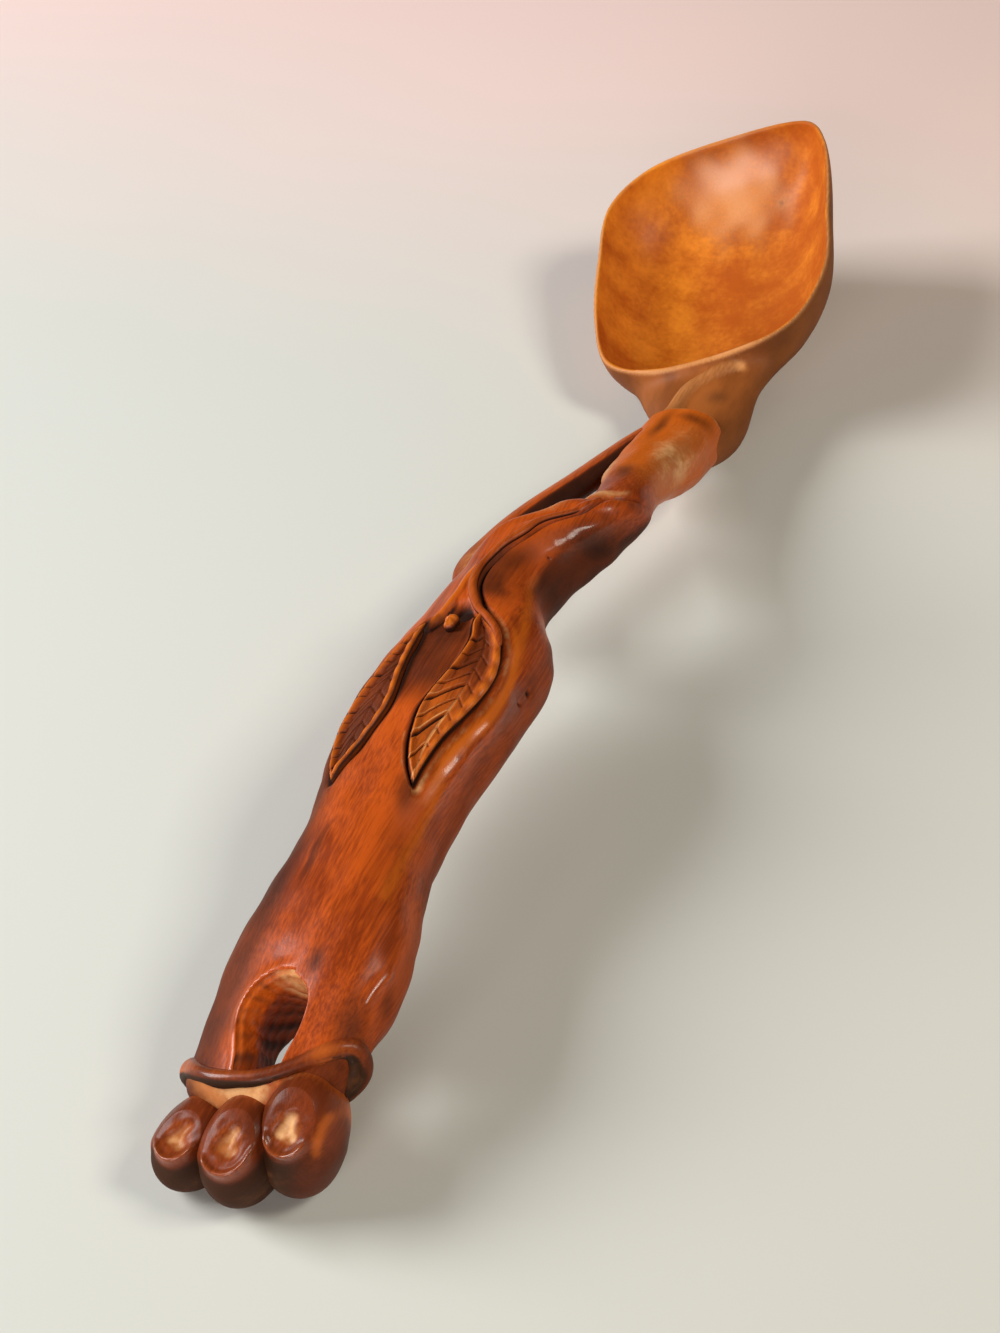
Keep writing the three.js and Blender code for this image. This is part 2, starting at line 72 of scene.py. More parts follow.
def unit(vectors):
    """The same directions with a length of 1."""
    return vectors / np.linalg.norm(vectors, axis=-1, keepdims=True)


print("the bowl's flat lies", FOOT[0], "mm from the ruler's start")

# %% [markdown]
# ## Camera
# The photograph looks down at the ladle from behind the buds. The height and the heading come from
# the lengths that the picture shortens, and the lens from how fast the far end shrinks.

# %% Set up the camera
CAMERA_SPOT = (-134.0, -91.0, 230.0)
CAMERA_TILT = 50.0
CAMERA_TURN = -68.2
CAMERA_LENS = 54.0

lens = bpy.data.cameras.new("camera")
lens.lens = CAMERA_LENS
camera = bpy.data.objects.new("camera", lens)
camera.location = to_frame(CAMERA_SPOT)
camera.rotation_euler = (math.radians(CAMERA_TILT), 0.0, math.radians(CAMERA_TURN))
bpy.context.collection.objects.link(camera)
bpy.context.scene.camera = camera
bpy.context.scene.view_settings.view_transform = "Standard"
print("camera at", [round(value, 3) for value in camera.location])

# %% [markdown]
# ## Shader sums
# A finish mixes many masks. Sums on masks read best as plain arithmetic, so a small class wraps a
# node's output, and one method adds every other node with its settings and its sockets.

# %% A class for shader sums


def add_node(tree, kind, settings=None, sockets=None):
    """A new node in a tree with its settings, then the values or links of its sockets."""
    made = tree.nodes.new(kind)
    for key, value in (settings or {}).items():
        setattr(made, key, value)
    for key, value in (sockets or {}).items():
        if isinstance(value, bpy.types.NodeSocket):
            tree.links.new(value, made.inputs[key])
        else:
            made.inputs[key].default_value = value
    return made


class Wire:
    """The output of a node, which takes part in sums."""

    def __init__(self, finish, socket):
        self.finish = finish
        self.socket = socket

    def sums(self, operation, first, second):
        return self.finish.node("ShaderNodeMath", {"operation": operation}, {0: first, 1: second})

    def __add__(self, other):
        return self.sums("ADD", self, other)

    def __radd__(self, other):
        return self.sums("ADD", other, self)

    def __sub__(self, other):
        return self.sums("SUBTRACT", self, other)

    def __rsub__(self, other):
        return self.sums("SUBTRACT", other, self)

    def __mul__(self, other):
        return self.sums("MULTIPLY", self, other)

    def __rmul__(self, other):
        return self.sums("MULTIPLY", other, self)


class Finish:
    """A material in the making."""

    def __init__(self, name):
        self.material = bpy.data.materials.new(name)
        self.material.use_nodes = True
        self.tree = self.material.node_tree
        self.tree.nodes.clear()

    def node(self, kind, settings=None, sockets=None, out=0):
        """A new node of this finish; its sockets take numbers, colours and wires."""
        plain = {}
        for key, value in (sockets or {}).items():
            plain[key] = value.socket if isinstance(value, Wire) else value
        made = add_node(self.tree, kind, settings, plain)
        return Wire(self, made.outputs[out]) if made.outputs else None

    def mix(self, share, first, second):
        """A colour between two colours."""
        return self.node("ShaderNodeMix", {"data_type": "RGBA"}, {0: share, 6: first, 7: second}, 2)

    def noise(self, place, stretch, detail):
        """Soft random spots, so many to the metre along each axis."""
        spot = self.node("ShaderNodeMapping", None, {"Vector": place, "Scale": stretch})
        return self.node("ShaderNodeTexNoise", None, {"Vector": spot, "Scale": 1.0, "Detail": detail})

    def span(self, value, low, high):
        """0 below low, 1 above high, and a smooth rise between them."""
        settings = {"interpolation_type": "SMOOTHSTEP"}
        return self.node("ShaderNodeMapRange", settings, {0: value, 1: low, 2: high})

    def mask(self, name):
        """A value that a piece carries on its points."""
        return self.node("ShaderNodeAttribute", {"attribute_name": name}, None, "Fac")

    def done(self, sockets):
        """The shader with its sockets, joined to the output."""
        shader = self.node("ShaderNodeBsdfPrincipled", None, sockets)
        self.node("ShaderNodeOutputMaterial", None, {"Surface": shader})
        return self.material


def paint(red, green, blue):
    """A colour as a picture shows it, 0 to 255, for a colour socket."""
    shares = np.array([red, green, blue]) / 255.0
    linear = np.where(shares <= 0.04045, shares / 12.92, ((shares + 0.055) / 1.055) ** 2.4)
    return (*linear.tolist(), 1.0)


print("grip middle as a socket takes it:", paint(181, 81, 32))

# %% [markdown]
# ## Floor and light
# The ladle lies on a plain pale sheet that turns pinkish towards the back. Two soft lamps throw the
# two shadows of the photograph, a strong one from the left and a weak one from the right. A third,
# weak lamp behind the camera shines back from the bowl, and a dim sky fills the rest. Together they
# light a colour about as it is written.

# %% Lay the floor
FLOOR_HALF = 3.0
FLOOR_CLOUDS = (9.0, 9.0, 9.0)
FLOOR_TOOTH = (900.0, 900.0, 900.0)


def floor_finish():
    """A pale sheet, warmer at the back, with a faint tooth."""
    finish = Finish("pale_sheet")
    place = finish.node("ShaderNodeTexCoord", None, None, "Object")
    ahead = finish.node("ShaderNodeSeparateXYZ", None, {0: place}, "X")
    side = finish.node("ShaderNodeSeparateXYZ", None, {0: place}, "Y")
    clouds = finish.noise(place, FLOOR_CLOUDS, 3.0)
    near = finish.mix(finish.span(side, -0.12, 0.1), paint(214, 213, 204), paint(218, 220, 214))
    back = finish.mix(finish.span(side, -0.2, 0.12), paint(234, 208, 196), paint(255, 225, 219))
    colour = finish.mix(finish.span(ahead + 0.08 * clouds, -0.02, 0.22), near, back)
    tooth = finish.noise(place, FLOOR_TOOTH, 2.0)
    normal = finish.node("ShaderNodeBump", None, {"Strength": 0.05, "Distance": 0.0002, "Height": tooth})
    return finish.done({"Base Color": colour, "Roughness": 0.85, "Normal": normal})


floor_mesh = bpy.data.meshes.new("floor")
corners = [(-FLOOR_HALF, -FLOOR_HALF, 0), (FLOOR_HALF, -FLOOR_HALF, 0),
           (FLOOR_HALF, FLOOR_HALF, 0), (-FLOOR_HALF, FLOOR_HALF, 0)]
floor_mesh.from_pydata(corners, [], [(0, 1, 2, 3)])
floor_mesh.materials.append(floor_finish())
floor = bpy.data.objects.new("floor", floor_mesh)
bpy.context.collection.objects.link(floor)
print("floor", 2 * FLOOR_HALF, "m wide")

# %% Hang the lamps
LADLE_MIDDLE = (140.0, 4.0, 15.0)
LAMP_REACH = 1.1
LAMPS = {
    "lamp_left": {"towards": (-0.49, 1.54, 1.0), "power": 13.7, "size": 0.55, "tint": (0.98, 0.99, 1.0)},
    "lamp_right": {"towards": (0.09, -0.86, 1.0), "power": 5.0, "size": 0.34, "tint": (1.0, 0.96, 0.84)},
    "lamp_back": {"towards": (-0.95, -0.06, 0.28), "power": 5.2, "size": 0.42, "tint": (1.0, 0.92, 0.9)},
}

SKY_TINT = (1.0, 0.94, 0.74, 1.0)
SKY_STRENGTH = 0.04

for name, facts in LAMPS.items():
    lamp = bpy.data.lights.new(name, "AREA")
    lamp.energy = facts["power"]
    lamp.size = facts["size"]
    lamp.color = facts["tint"]
    holder = bpy.data.objects.new(name, lamp)
    towards = unit(np.array(facts["towards"]))
    holder.location = to_frame(LADLE_MIDDLE) + LAMP_REACH * towards
    level = math.hypot(towards[0], towards[1])
    holder.rotation_euler = (math.atan2(level, towards[2]), 0.0, math.atan2(towards[0], -towards[1]))
    bpy.context.collection.objects.link(holder)
    print(name, "at", [round(value, 2) for value in holder.location])

sky = bpy.data.worlds.new("sky")
sky.use_nodes = True
sky.node_tree.nodes["Background"].inputs["Color"].default_value = SKY_TINT
sky.node_tree.nodes["Background"].inputs["Strength"].default_value = SKY_STRENGTH
bpy.context.scene.world = sky

# %% [markdown]
# ## Oiled wood
# Years of oil and hands gave this wood its colours: a red-brown body with fine streaks along the
# branch, dark dirt in the cuts, orange wood where a ridge is rubbed bare, and pale gold wood in the
# hollows. One recipe mixes them. The pieces say on their own points where they are worn, cut or raw,
# and noise along the branch gives the grain, so no picture has to be wrapped round the shape. In some
# places the dark mask also holds painted shade, and the worn mask painted light and painted highlights.

# %% Mix the wood finishes
# How many soft spots there are to the metre along each axis.
GRAIN = (30.0, 2600.0, 2600.0)
PORES = (300.0, 4200.0, 4200.0)
CLOUDS = (42.0, 110.0, 110.0)
SPECKS = (900.0, 900.0, 900.0)
MOTTLE = (130.0, 130.0, 130.0)


def wood(name, colours, streaky, mottled, shine):
    """Oiled wood: a streaked body, with masks for rubbed ridges, dirty cuts and raw hollows; the masks also
    hold painted light and shade.
    """
    body, shade, crest, cut, raw, raw_shade = (paint(*colour) for colour in colours)
    finish = Finish(name)
    place = finish.node("ShaderNodeTexCoord", None, None, "Object")
    streaks = finish.noise(place, GRAIN, 4.0)
    pores = finish.noise(place, PORES, 2.0)
    clouds = finish.noise(place, CLOUDS, 5.0)
    specks = finish.noise(place, SPECKS, 3.0)
    mottle = finish.noise(place, MOTTLE, 5.0)
    wear = finish.mask("wear")
    groove = finish.mask("groove")
    bare = finish.mask("raw")
    oil = finish.mask("oil")
    tone = finish.span(streaky * streaks + (1 - streaky) * clouds, 0.36, 0.62)
    colour = finish.mix(tone, shade, body)
    colour = finish.mix(finish.span(wear + 0.4 * streaks, 0.3, 1.2), colour, crest)
    darkening = finish.span(0.7 * mottle + 0.3 * specks, 0.54, 0.68) * (0.5 * streaky)
    colour = finish.mix(darkening, colour, cut)
    colour = finish.mix(finish.span(groove + 0.3 * mottle, 0.22, 1.1), colour, cut)
    light = 0.75 * mottle + 0.25 * specks - 0.2 * groove
    pale = finish.mix(finish.span(light, 0.5 - mottled, 0.5 + mottled), raw_shade, raw)
    colour = finish.mix(finish.span(bare + 0.25 * specks + 0.45 * mottle, 0.5, 1.15), colour, pale)
    colour = finish.mix(finish.span(pores, 0.64, 0.76) * (0.5 * streaky), colour, cut)
    rough = shine["rough"] + 0.1 * clouds + 0.06 * specks + 0.3 * groove
    coat = shine["coat"] * (1.0 - finish.span(groove, 0.05, 0.45)) + 0.8 * oil
    height = (1.2 * streaky) * streaks + 0.3 * pores + 0.5 * specks
    normal = finish.node("ShaderNodeBump", None, {"Strength": 0.22, "Distance": 0.0003, "Height": height})
    return finish.done({"Base Color": colour, "Roughness": rough, "Normal": normal, "Coat Weight": coat,
                        "Specular IOR Level": shine["level"], "Coat Roughness": shine["blur"],
                        "Coat IOR": shine["bend"]})


SATIN = {"level": 0.15, "coat": 0.05, "blur": 0.16, "rough": 0.3, "bend": 1.5}
POLISH = {"level": 0.2, "coat": 0.04, "blur": 0.4, "rough": 0.42, "bend": 1.9}
# The colours of the body and its shade, rubbed ridges, cuts, raw wood and its shade.
WOODS = {
    "handle_wood": {"streaky": 0.38, "mottled": 0.12, "shine": SATIN, "colours": [
        (192, 82, 22), (132, 50, 14), (206, 100, 22), (42, 17, 6), (234, 178, 120), (188, 116, 64)]},
    "carved_wood": {"streaky": 0.4, "mottled": 0.12, "shine": SATIN, "colours": [
        (168, 74, 22), (126, 51, 16), (204, 104, 28), (48, 19, 8), (224, 156, 92), (190, 114, 58)]},
    "bud_wood": {"streaky": 0.3, "mottled": 0.1, "shine": SATIN, "colours": [
        (128, 54, 22), (94, 38, 14), (186, 90, 30), (50, 28, 13), (226, 174, 120), (170, 100, 50)]},
    "bowl_wood": {"streaky": 0.06, "mottled": 0.28, "shine": POLISH, "colours": [
        (166, 92, 38), (132, 70, 27), (226, 154, 92), (92, 52, 22), (238, 146, 40), (180, 86, 12)]},
}
finishes = {name: wood(name, **facts) for name, facts in WOODS.items()}
print("wood finishes:", list(finishes))

# %% [markdown]
# ## From points to a piece
# Every shape below ends as arrays of points and faces. One helper makes them a smooth mesh with the
# four masks of the wood and the finish of its slot, ties the piece to its body and hides the CAD node
# of its name.

# %% A helper that finishes a piece
MASKS = ("wear", "groove", "raw", "oil")
ML_PER_CUBIC_METRE = 1e6


def put_value(mesh, name, values, kind="FLOAT", field="value"):
    """A number or a direction on each point of a mesh, for finishes and node trees to read."""
    layer = mesh.attributes.new(name, kind, "POINT")
    layer.data.foreach_set(field, values.astype(np.float32).ravel())


def mesh_points(mesh):
    """The places of a mesh's points, in metres."""
    places = np.empty(3 * len(mesh.vertices))
    mesh.vertices.foreach_get("co", places)
    return places.reshape(-1, 3)


def mesh_volume(mesh):
    """The space that a closed mesh takes up; it is above zero where the faces look outward."""
    mesh.calc_loop_triangles()
    corners = np.empty(3 * len(mesh.loop_triangles), np.int32)
    mesh.loop_triangles.foreach_get("vertices", corners)
    first, second, third = mesh_points(mesh)[corners.reshape(-1, 3)].transpose(1, 0, 2)
    return (first * np.cross(second, third)).sum() / 6


def finish_piece(name, points, faces, slot, masks):
    """A mesh piece from points in millimetres, with its masks, in place of the CAD node of its name."""
    mesh = bpy.data.meshes.new(name)
    mesh.from_pydata(to_frame(points).tolist(), [], [list(face) for face in faces])
    for mask in MASKS:
        put_value(mesh, mask, np.clip(masks.get(mask, np.zeros(len(points))), 0.0, 1.0))
    mesh.materials.append(finishes[slot])
    mesh.shade_smooth()
    mesh.validate()
    piece = bpy.data.objects.new("carved_" + name, mesh)
    bpy.context.collection.objects.link(piece)
    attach(piece, "root")
    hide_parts(name)
    size = (np.ptp(mesh_points(mesh), axis=0) / MM).round(1).tolist()
    volume = round(mesh_volume(mesh) * ML_PER_CUBIC_METRE, 2)
    print(name, "is", size, "mm,", len(mesh.polygons), "faces,", volume, "ml of wood")
    return piece


def grid_faces(rows, columns, loop):
    """The faces of a grid of points, row by row; a loop joins the last column to the first."""
    across = np.arange(columns if loop else columns - 1)
    row = np.arange(rows - 1)[:, None] * columns
    ahead = (across + 1) % columns
    faces = np.stack([row + across, row + ahead, row + columns + ahead, row + columns + across], axis=-1)
    return faces.reshape(-1, 4)


def capped_faces(rings, turns):
    """The faces of rings that close in one point at each end; those two points come last."""
    faces = grid_faces(rings, turns, True).tolist()
    first_tip = rings * turns
    last_ring = (rings - 1) * turns
    for j in range(turns):
        ahead = (j + 1) % turns
        faces.append([first_tip, ahead, j])
        faces.append([first_tip + 1, last_ring + j, last_ring + ahead])
    return faces


print("masks on each piece:", ", ".join(MASKS))

# %% [markdown]
# ## The branch
# The handle is a branch that climbs from the wrist, bends at a knuckle and drops to the sheath that
# holds the bowl's stem. Its cross-sections are rounded boxes that lean to one side. A smooth course
# through measured stations gives the section anywhere, so the carvings can sit exactly on its skin.

# %% A smooth course through stations


def course(stations):
    """A function that gives the values of a station at any place along, on a smooth cubic course."""
    table = np.array(stations, float)
    knots = table[:, 0]
    rows = table[:, 1:]

    def at(along):
        place = np.clip(np.atleast_1d(np.asarray(along, float)), knots[0], knots[-1])
        first = np.clip(np.searchsorted(knots, place, side="right") - 1, 0, len(knots) - 2)
        second = first + 1
        before = np.where(first > 0, first - 1, second)
        after = np.where(second + 1 < len(knots), np.minimum(second + 1, len(knots) - 1), first)
        run = knots[second] - knots[first]
        p = (place - knots[first]) / run
        pull = 0.5 * run / (knots[first] - knots[before])
        push = 0.5 * run / (knots[after] - knots[second])
        weights = (
            (before, -pull * p ** 3 + 2 * pull * p ** 2 - pull * p),
            (first, (1 + pull) * p ** 3 + (-1.5 - 2 * pull) * p ** 2 + (pull - 0.5) * p + 1),
            (second, (-1 - push) * p ** 3 + (1.5 + push) * p ** 2 + 0.5 * p),
            (after, push * p ** 3 - push * p ** 2),
        )
        return sum(weight[:, None] * rows[index] for index, weight in weights)

    return at


# Along, side, up, width, depth and lean in degrees.
HANDLE_STATIONS = [
    (8, 2.8, 9.5, 20, 12, 8), (16, 2.6, 12.4, 24, 12, 16), (30, 2.6, 15.4, 27.5, 17, 18),
    (53.5, 4.7, 18, 20.6, 19, 16), (69, 6.2, 19.9, 24.2, 20.4, 18), (83, 5.6, 21.4, 26.8, 21.4, 20),
    (97, 4.8, 22, 25.4, 20.4, 20), (110.5, 6.4, 23, 15.4, 17.4, 18), (120.5, 4.9, 24, 15.4, 17, 18),
    (128.7, -1.3, 25.6, 11.6, 12.4, 16), (140.2, -4.1, 25, 10, 10.4, 12),
    (156, -2.1, 19.5, 10, 10.4, 12), (174, -1.6, 13.4, 15.8, 13.2, 12), (189, -2.2, 11.3, 15.8, 13.2, 14),
]
HANDLE_BOXY = 2.4
HANDLE_START = HANDLE_STATIONS[0][0]
HANDLE_END = HANDLE_STATIONS[-1][0]
handle_at = course(HANDLE_STATIONS)
print("middle of the grip, side, up, width, depth, lean:", handle_at(69.0)[0].round(1))

# %% Walk on the branch's skin
SKIN_STEP = 0.25
SKIN_TURNS = 721
EDGE_STEPS = 2161


def section_edge(wide, deep, boxy, turn):
    """The edge of a rounded box at a turn from its left: across and height."""
    across = np.sign(np.cos(turn)) * np.abs(np.cos(turn)) ** (2 / boxy) * wide / 2
    height = np.sign(np.sin(turn)) * np.abs(np.sin(turn)) ** (2 / boxy) * deep / 2
    return across, height


def skin_table():
    """For each row along the handle: across and height at even shares of the way round its edge."""
    rows = np.arange(HANDLE_START, HANDLE_END + SKIN_STEP / 2, SKIN_STEP)
    turn = math.pi / 2 - np.linspace(-math.pi, math.pi, EDGE_STEPS)
    shares = np.linspace(-0.5, 0.5, SKIN_TURNS)
    table = np.empty((len(rows), SKIN_TURNS, 2))
    rounds = np.empty(len(rows))
    for index, (_, _, wide, deep, _) in enumerate(handle_at(rows)):
        across, height = section_edge(wide, deep, HANDLE_BOXY, turn)
        run = np.concatenate([[0.0], np.cumsum(np.hypot(np.diff(across), np.diff(height)))])
        rounds[index] = run[-1]
        middle = run[len(run) // 2]
        place = (run - middle) / run[-1]
        table[index, :, 0] = np.interp(shares, place, across)
        table[index, :, 1] = np.interp(shares, place, height)
    return rounds, table


skin_round, skin_edge = skin_table()


def look_up(table, along, share):
    """A value from the skin's table, between its rows and columns."""
    row = np.clip((along - HANDLE_START) / SKIN_STEP, 0, len(skin_round) - 1.001)
    column = np.clip((share + 0.5) * (SKIN_TURNS - 1), 0, SKIN_TURNS - 1.001)
    i = row.astype(int)
    j = column.astype(int)
    u = (row - i)[..., None]
    v = (column - j)[..., None]
    low = table[i, j] * (1 - v) + table[i, j + 1] * v
    high = table[i + 1, j] * (1 - v) + table[i + 1, j + 1] * v
    return low * (1 - u) + high * u


def round_at(along):
    """The way round the handle's section."""
    rows = HANDLE_START + SKIN_STEP * np.arange(len(skin_round))
    return np.interp(along, rows, skin_round)


def skin_point(along, arc):
    """Points on the handle's skin, arc millimetres to the left of its ridge line."""
    along, arc = np.broadcast_arrays(np.asarray(along, float), np.asarray(arc, float))
    across, height = np.moveaxis(look_up(skin_edge, along, arc / round_at(along)), -1, 0)
    side, up, _, _, lean = np.moveaxis(handle_at(along.ravel()).reshape(along.shape + (5,)), -1, 0)
    lean = np.radians(lean)
    left = side + across * np.cos(lean) + height * np.sin(lean)
    top = up - across * np.sin(lean) + height * np.cos(lean)
    return np.stack([along, left, top], axis=-1)


def skin_out(along, arc):
    """The direction that leads straight out of the wood."""
    step = 0.3
    ahead = skin_point(along + step, arc) - skin_point(along - step, arc)
    leftwards = skin_point(along, arc + step) - skin_point(along, arc - step)
    return unit(np.cross(ahead, leftwards))


print("way round the grip:", round(float(round_at(69.0)), 1), "mm")

# %% [markdown]
# ## Lines for the knife
# A carver draws the vine and the leaves on the wood before cutting. The lines here were read off the
# photograph as places along the ladle and across from the handle's ridge. On the skin they become
# smooth curves, and a cut is simply deep near its line and shallow away from it.

# %% Draw smooth lines on the skin


def smooth_line(points, closed=False, fine=10):
    """A smooth line through points, with so many steps between each pair of them."""
    knots = np.array(points, float)
    count = len(knots)
    starts = range(count) if closed else range(count - 1)
    shares = np.linspace(0, 1, fine, endpoint=False)[:, None]
    pieces = []
    for i in starts:
        around = [(i + k) % count if closed else min(max(i + k, 0), count - 1) for k in (-1, 0, 1, 2)]
        p0, p1, p2, p3 = knots[around]
        d0, d1, d2 = (max(np.linalg.norm(b - a) ** 0.5, 1e-4) for a, b in ((p0, p1), (p1, p2), (p2, p3)))
        d0 = d1 if d0 < 1e-3 else d0
        d2 = d1 if d2 < 1e-3 else d2
        leave = ((p1 - p0) / d0 - (p2 - p0) / (d0 + d1) + (p2 - p1) / d1) * d1
        reach = ((p2 - p1) / d1 - (p3 - p1) / (d1 + d2) + (p3 - p2) / d2) * d1
        bend = -3 * p1 + 3 * p2 - 2 * leave - reach
        curl = 2 * p1 - 2 * p2 + leave + reach
        pieces.append(p1 + leave * shares + bend * shares ** 2 + curl * shares ** 3)
    if not closed:
        pieces.append(knots[-1:])
    return np.concatenate(pieces)


def on_skin(points):
    """Places along and across from the ridge, as places along and round the skin."""
    line = smooth_line(points)
    _, _, wide, deep, _ = handle_at(line[:, 0]).T
    share = np.clip(2 * line[:, 1] / wide, -0.995, 0.995)
    walk = np.linspace(0, 1, 60)[:, None] * share
    height = deep / 2 * (1 - np.abs(walk) ** HANDLE_BOXY) ** (1 / HANDLE_BOXY)
    arc = np.hypot(np.diff(walk, axis=0) * wide / 2, np.diff(height, axis=0)).sum(axis=0)
    return np.column_stack([line[:, 0], np.sign(share) * arc])


def away(along, arc, line):
    """How far places on the skin lie from a line, and how far along the line, from 0 to 1."""
    near = np.full(along.shape, 1e9)
    share = np.zeros(along.shape)
    for k in range(len(line) - 1):
        start = line[k]
        step = line[k + 1] - start
        t = ((along - start[0]) * step[0] + (arc - start[1]) * step[1]) / max(step @ step, 1e-12)
        t = np.clip(t, 0, 1)
        gap = np.hypot(along - start[0] - t * step[0], arc - start[1] - t * step[1])
        closer = gap < near
        near = np.where(closer, gap, near)
        share = np.where(closer, (k + t) / (len(line) - 1), share)
    return near, share


def enclosed(along, arc, loop):
    """True for the places inside a closed line."""
    inside = np.zeros(along.shape, bool)
    for start, end in zip(loop, np.roll(loop, -1, axis=0)):
        crosses = (start[1] > arc) != (end[1] > arc)
        rise = end[1] - start[1]
        meets = start[0] + (arc - start[1]) * (end[0] - start[0]) / (rise if rise else 1e-12)
        inside ^= crosses & (along < meets)
    return inside


def depth_inside(along, arc, loop):
    """How far a place lies inside a closed line; outside it is below zero."""
    near, _ = away(along, arc, np.concatenate([loop, loop[:1]]))
    return np.where(enclosed(along, arc, loop), near, -near)


LEAF_LINES = {
    "leaf_right": {
        "right": [(96, -4.3), (94.4, -6.5), (90.8, -9.5), (86.8, -11.2), (83.2, -11.8), (78.9, -11.6),
                  (74.4, -10.8), (70, -9.7), (65.8, -8.8), (62.3, -8.1), (59.8, -7.7)],
        "left": [(96, -4.3), (93, -4.3), (89, -5.8), (85, -6.2), (80.1, -5.8), (76.8, -5.2), (73, -4.8),
                 (69.1, -5.1), (65.6, -5.6), (62.5, -6.4), (59.8, -7.7)],
        "rib": [(96, -4.4), (91, -7.2), (87.5, -8.6), (82.2, -9.2), (78.2, -9.3), (74.1, -8.9),
                (69.7, -8.2), (65.8, -7.7), (59.8, -7.7)],
    },
    "leaf_left": {
        "right": [(94, 4.9), (91, 4.2), (84.2, 2.7), (79.5, 1.8), (75.3, 0.9), (72.1, 0.8), (68.2, 1.5),
                  (64.4, 2.8), (61.4, 4.6), (58.5, 5.9)],
        "left": [(94, 4.9), (91.5, 5.8), (86, 6.8), (80, 7.8), (75, 8.5), (70, 8.6), (65.5, 8), (61, 6.9),
                 (58.5, 5.9)],
        "rib": [(94, 4.9), (86, 4.6), (79, 4.5), (72, 4.7), (65, 5.3), (58.5, 5.9)],
    },
}
VINE_ROUTE = [(88.5, -10.3), (91.4, -8.8), (94.2, -6.2), (96.4, -3.7), (99, -1.9), (103.5, 0), (109, 0.3),
              (114, -0.8), (119, -2.6), (125, -1.2), (134, -0.6)]
leaf_lines = {}
for name, lines in LEAF_LINES.items():
    leaf_lines[name] = {part: on_skin(line) for part, line in lines.items()}
vine_line = on_skin(VINE_ROUTE)
print("points on the right leaf's edge:", len(leaf_lines["leaf_right"]["right"]))

# %% [markdown]
# ## The carver's map
# Round the leaves the ground is cut back, so that they stand up. A dark cut follows the vine and
# runs on outside the right leaf as a bevelled moat. The map gives the height of the skin at any
# place, and says where dirt has settled and where hands have rubbed the wood.

# %% Cut the ground, the moat and the grooves
GROUND_LINE = [(95.8, 3.4), (91, 3.6), (84.2, 2.3), (79.5, 1.4), (75.3, 0.5), (72.9, 0.2), (72.6, -2.2),
               (72.9, -4.4), (76.8, -4.8), (80.1, -5.4), (85, -5.8), (89, -5.4), (93, -4), (96.4, -2.2),
               (97.4, -0.4)]
RUBBED_LINE = [(112, -7.2), (108.9, -7.5), (102.5, -9.4), (97.4, -10.6), (91.6, -12), (85.3, -12.9),
               (79.3, -12.8), (71.9, -11.6), (66.6, -10.6), (61.7, -10.2), (51.7, -9.6), (40, -9.8)]
PIT_SPOT = (96.4, -0.9)
# How wide the cut is outside and inside the right leaf and round the left one, in millimetres.
OUTER_MOAT_WIDE = 2.2
INNER_MOAT_WIDE = 0.9
LEFT_CUT_WIDE = 1.4
# How deep the knife went, in millimetres.
MOAT_DEEP = 0.95
LEFT_CUT_DEEP = 0.8
GROUND_DEEP = 1.0
PIT_DEEP = 1.9
LEAF_BED_DEEP = 1.8
# The stem of the left leaf, on the left of the shoulder: along and round the skin.
LEFT_STEM = [(108.5, 1.2), (105, 1.8), (100, 2.4), (96, 3.2), (92, 4.4), (88, 5.7), (83, 6.8)]
# The slot's edge: places along and round the skin from the ridge.
SLOT_RIM = [(11, 0.7), (14, 1.7), (16.8, 2.9), (18.6, 3.6), (20.4, 3.6), (22.2, 2.8), (23.5, 1.5),
            (24.5, -0.2), (24.5, -2.5), (23.4, -4.3), (21.7, -5.2), (19.4, -5.4), (17.2, -5.2),
            (15.2, -4.7), (13.2, -4.4), (11, -3.9)]


def leaf_loop(name):
    """A leaf's edge as one closed line."""
    lines = leaf_lines[name]
    return np.concatenate([lines["right"], lines["left"][::-1][1:-1]])


ground_loop = on_skin(GROUND_LINE)
rubbed_line = on_skin(RUBBED_LINE)
left_stem = smooth_line(LEFT_STEM, False, 8)
leaf_loops = {name: leaf_loop(name) for name in LEAF_LINES}
slot_loop = smooth_line(SLOT_RIM, True, 8)


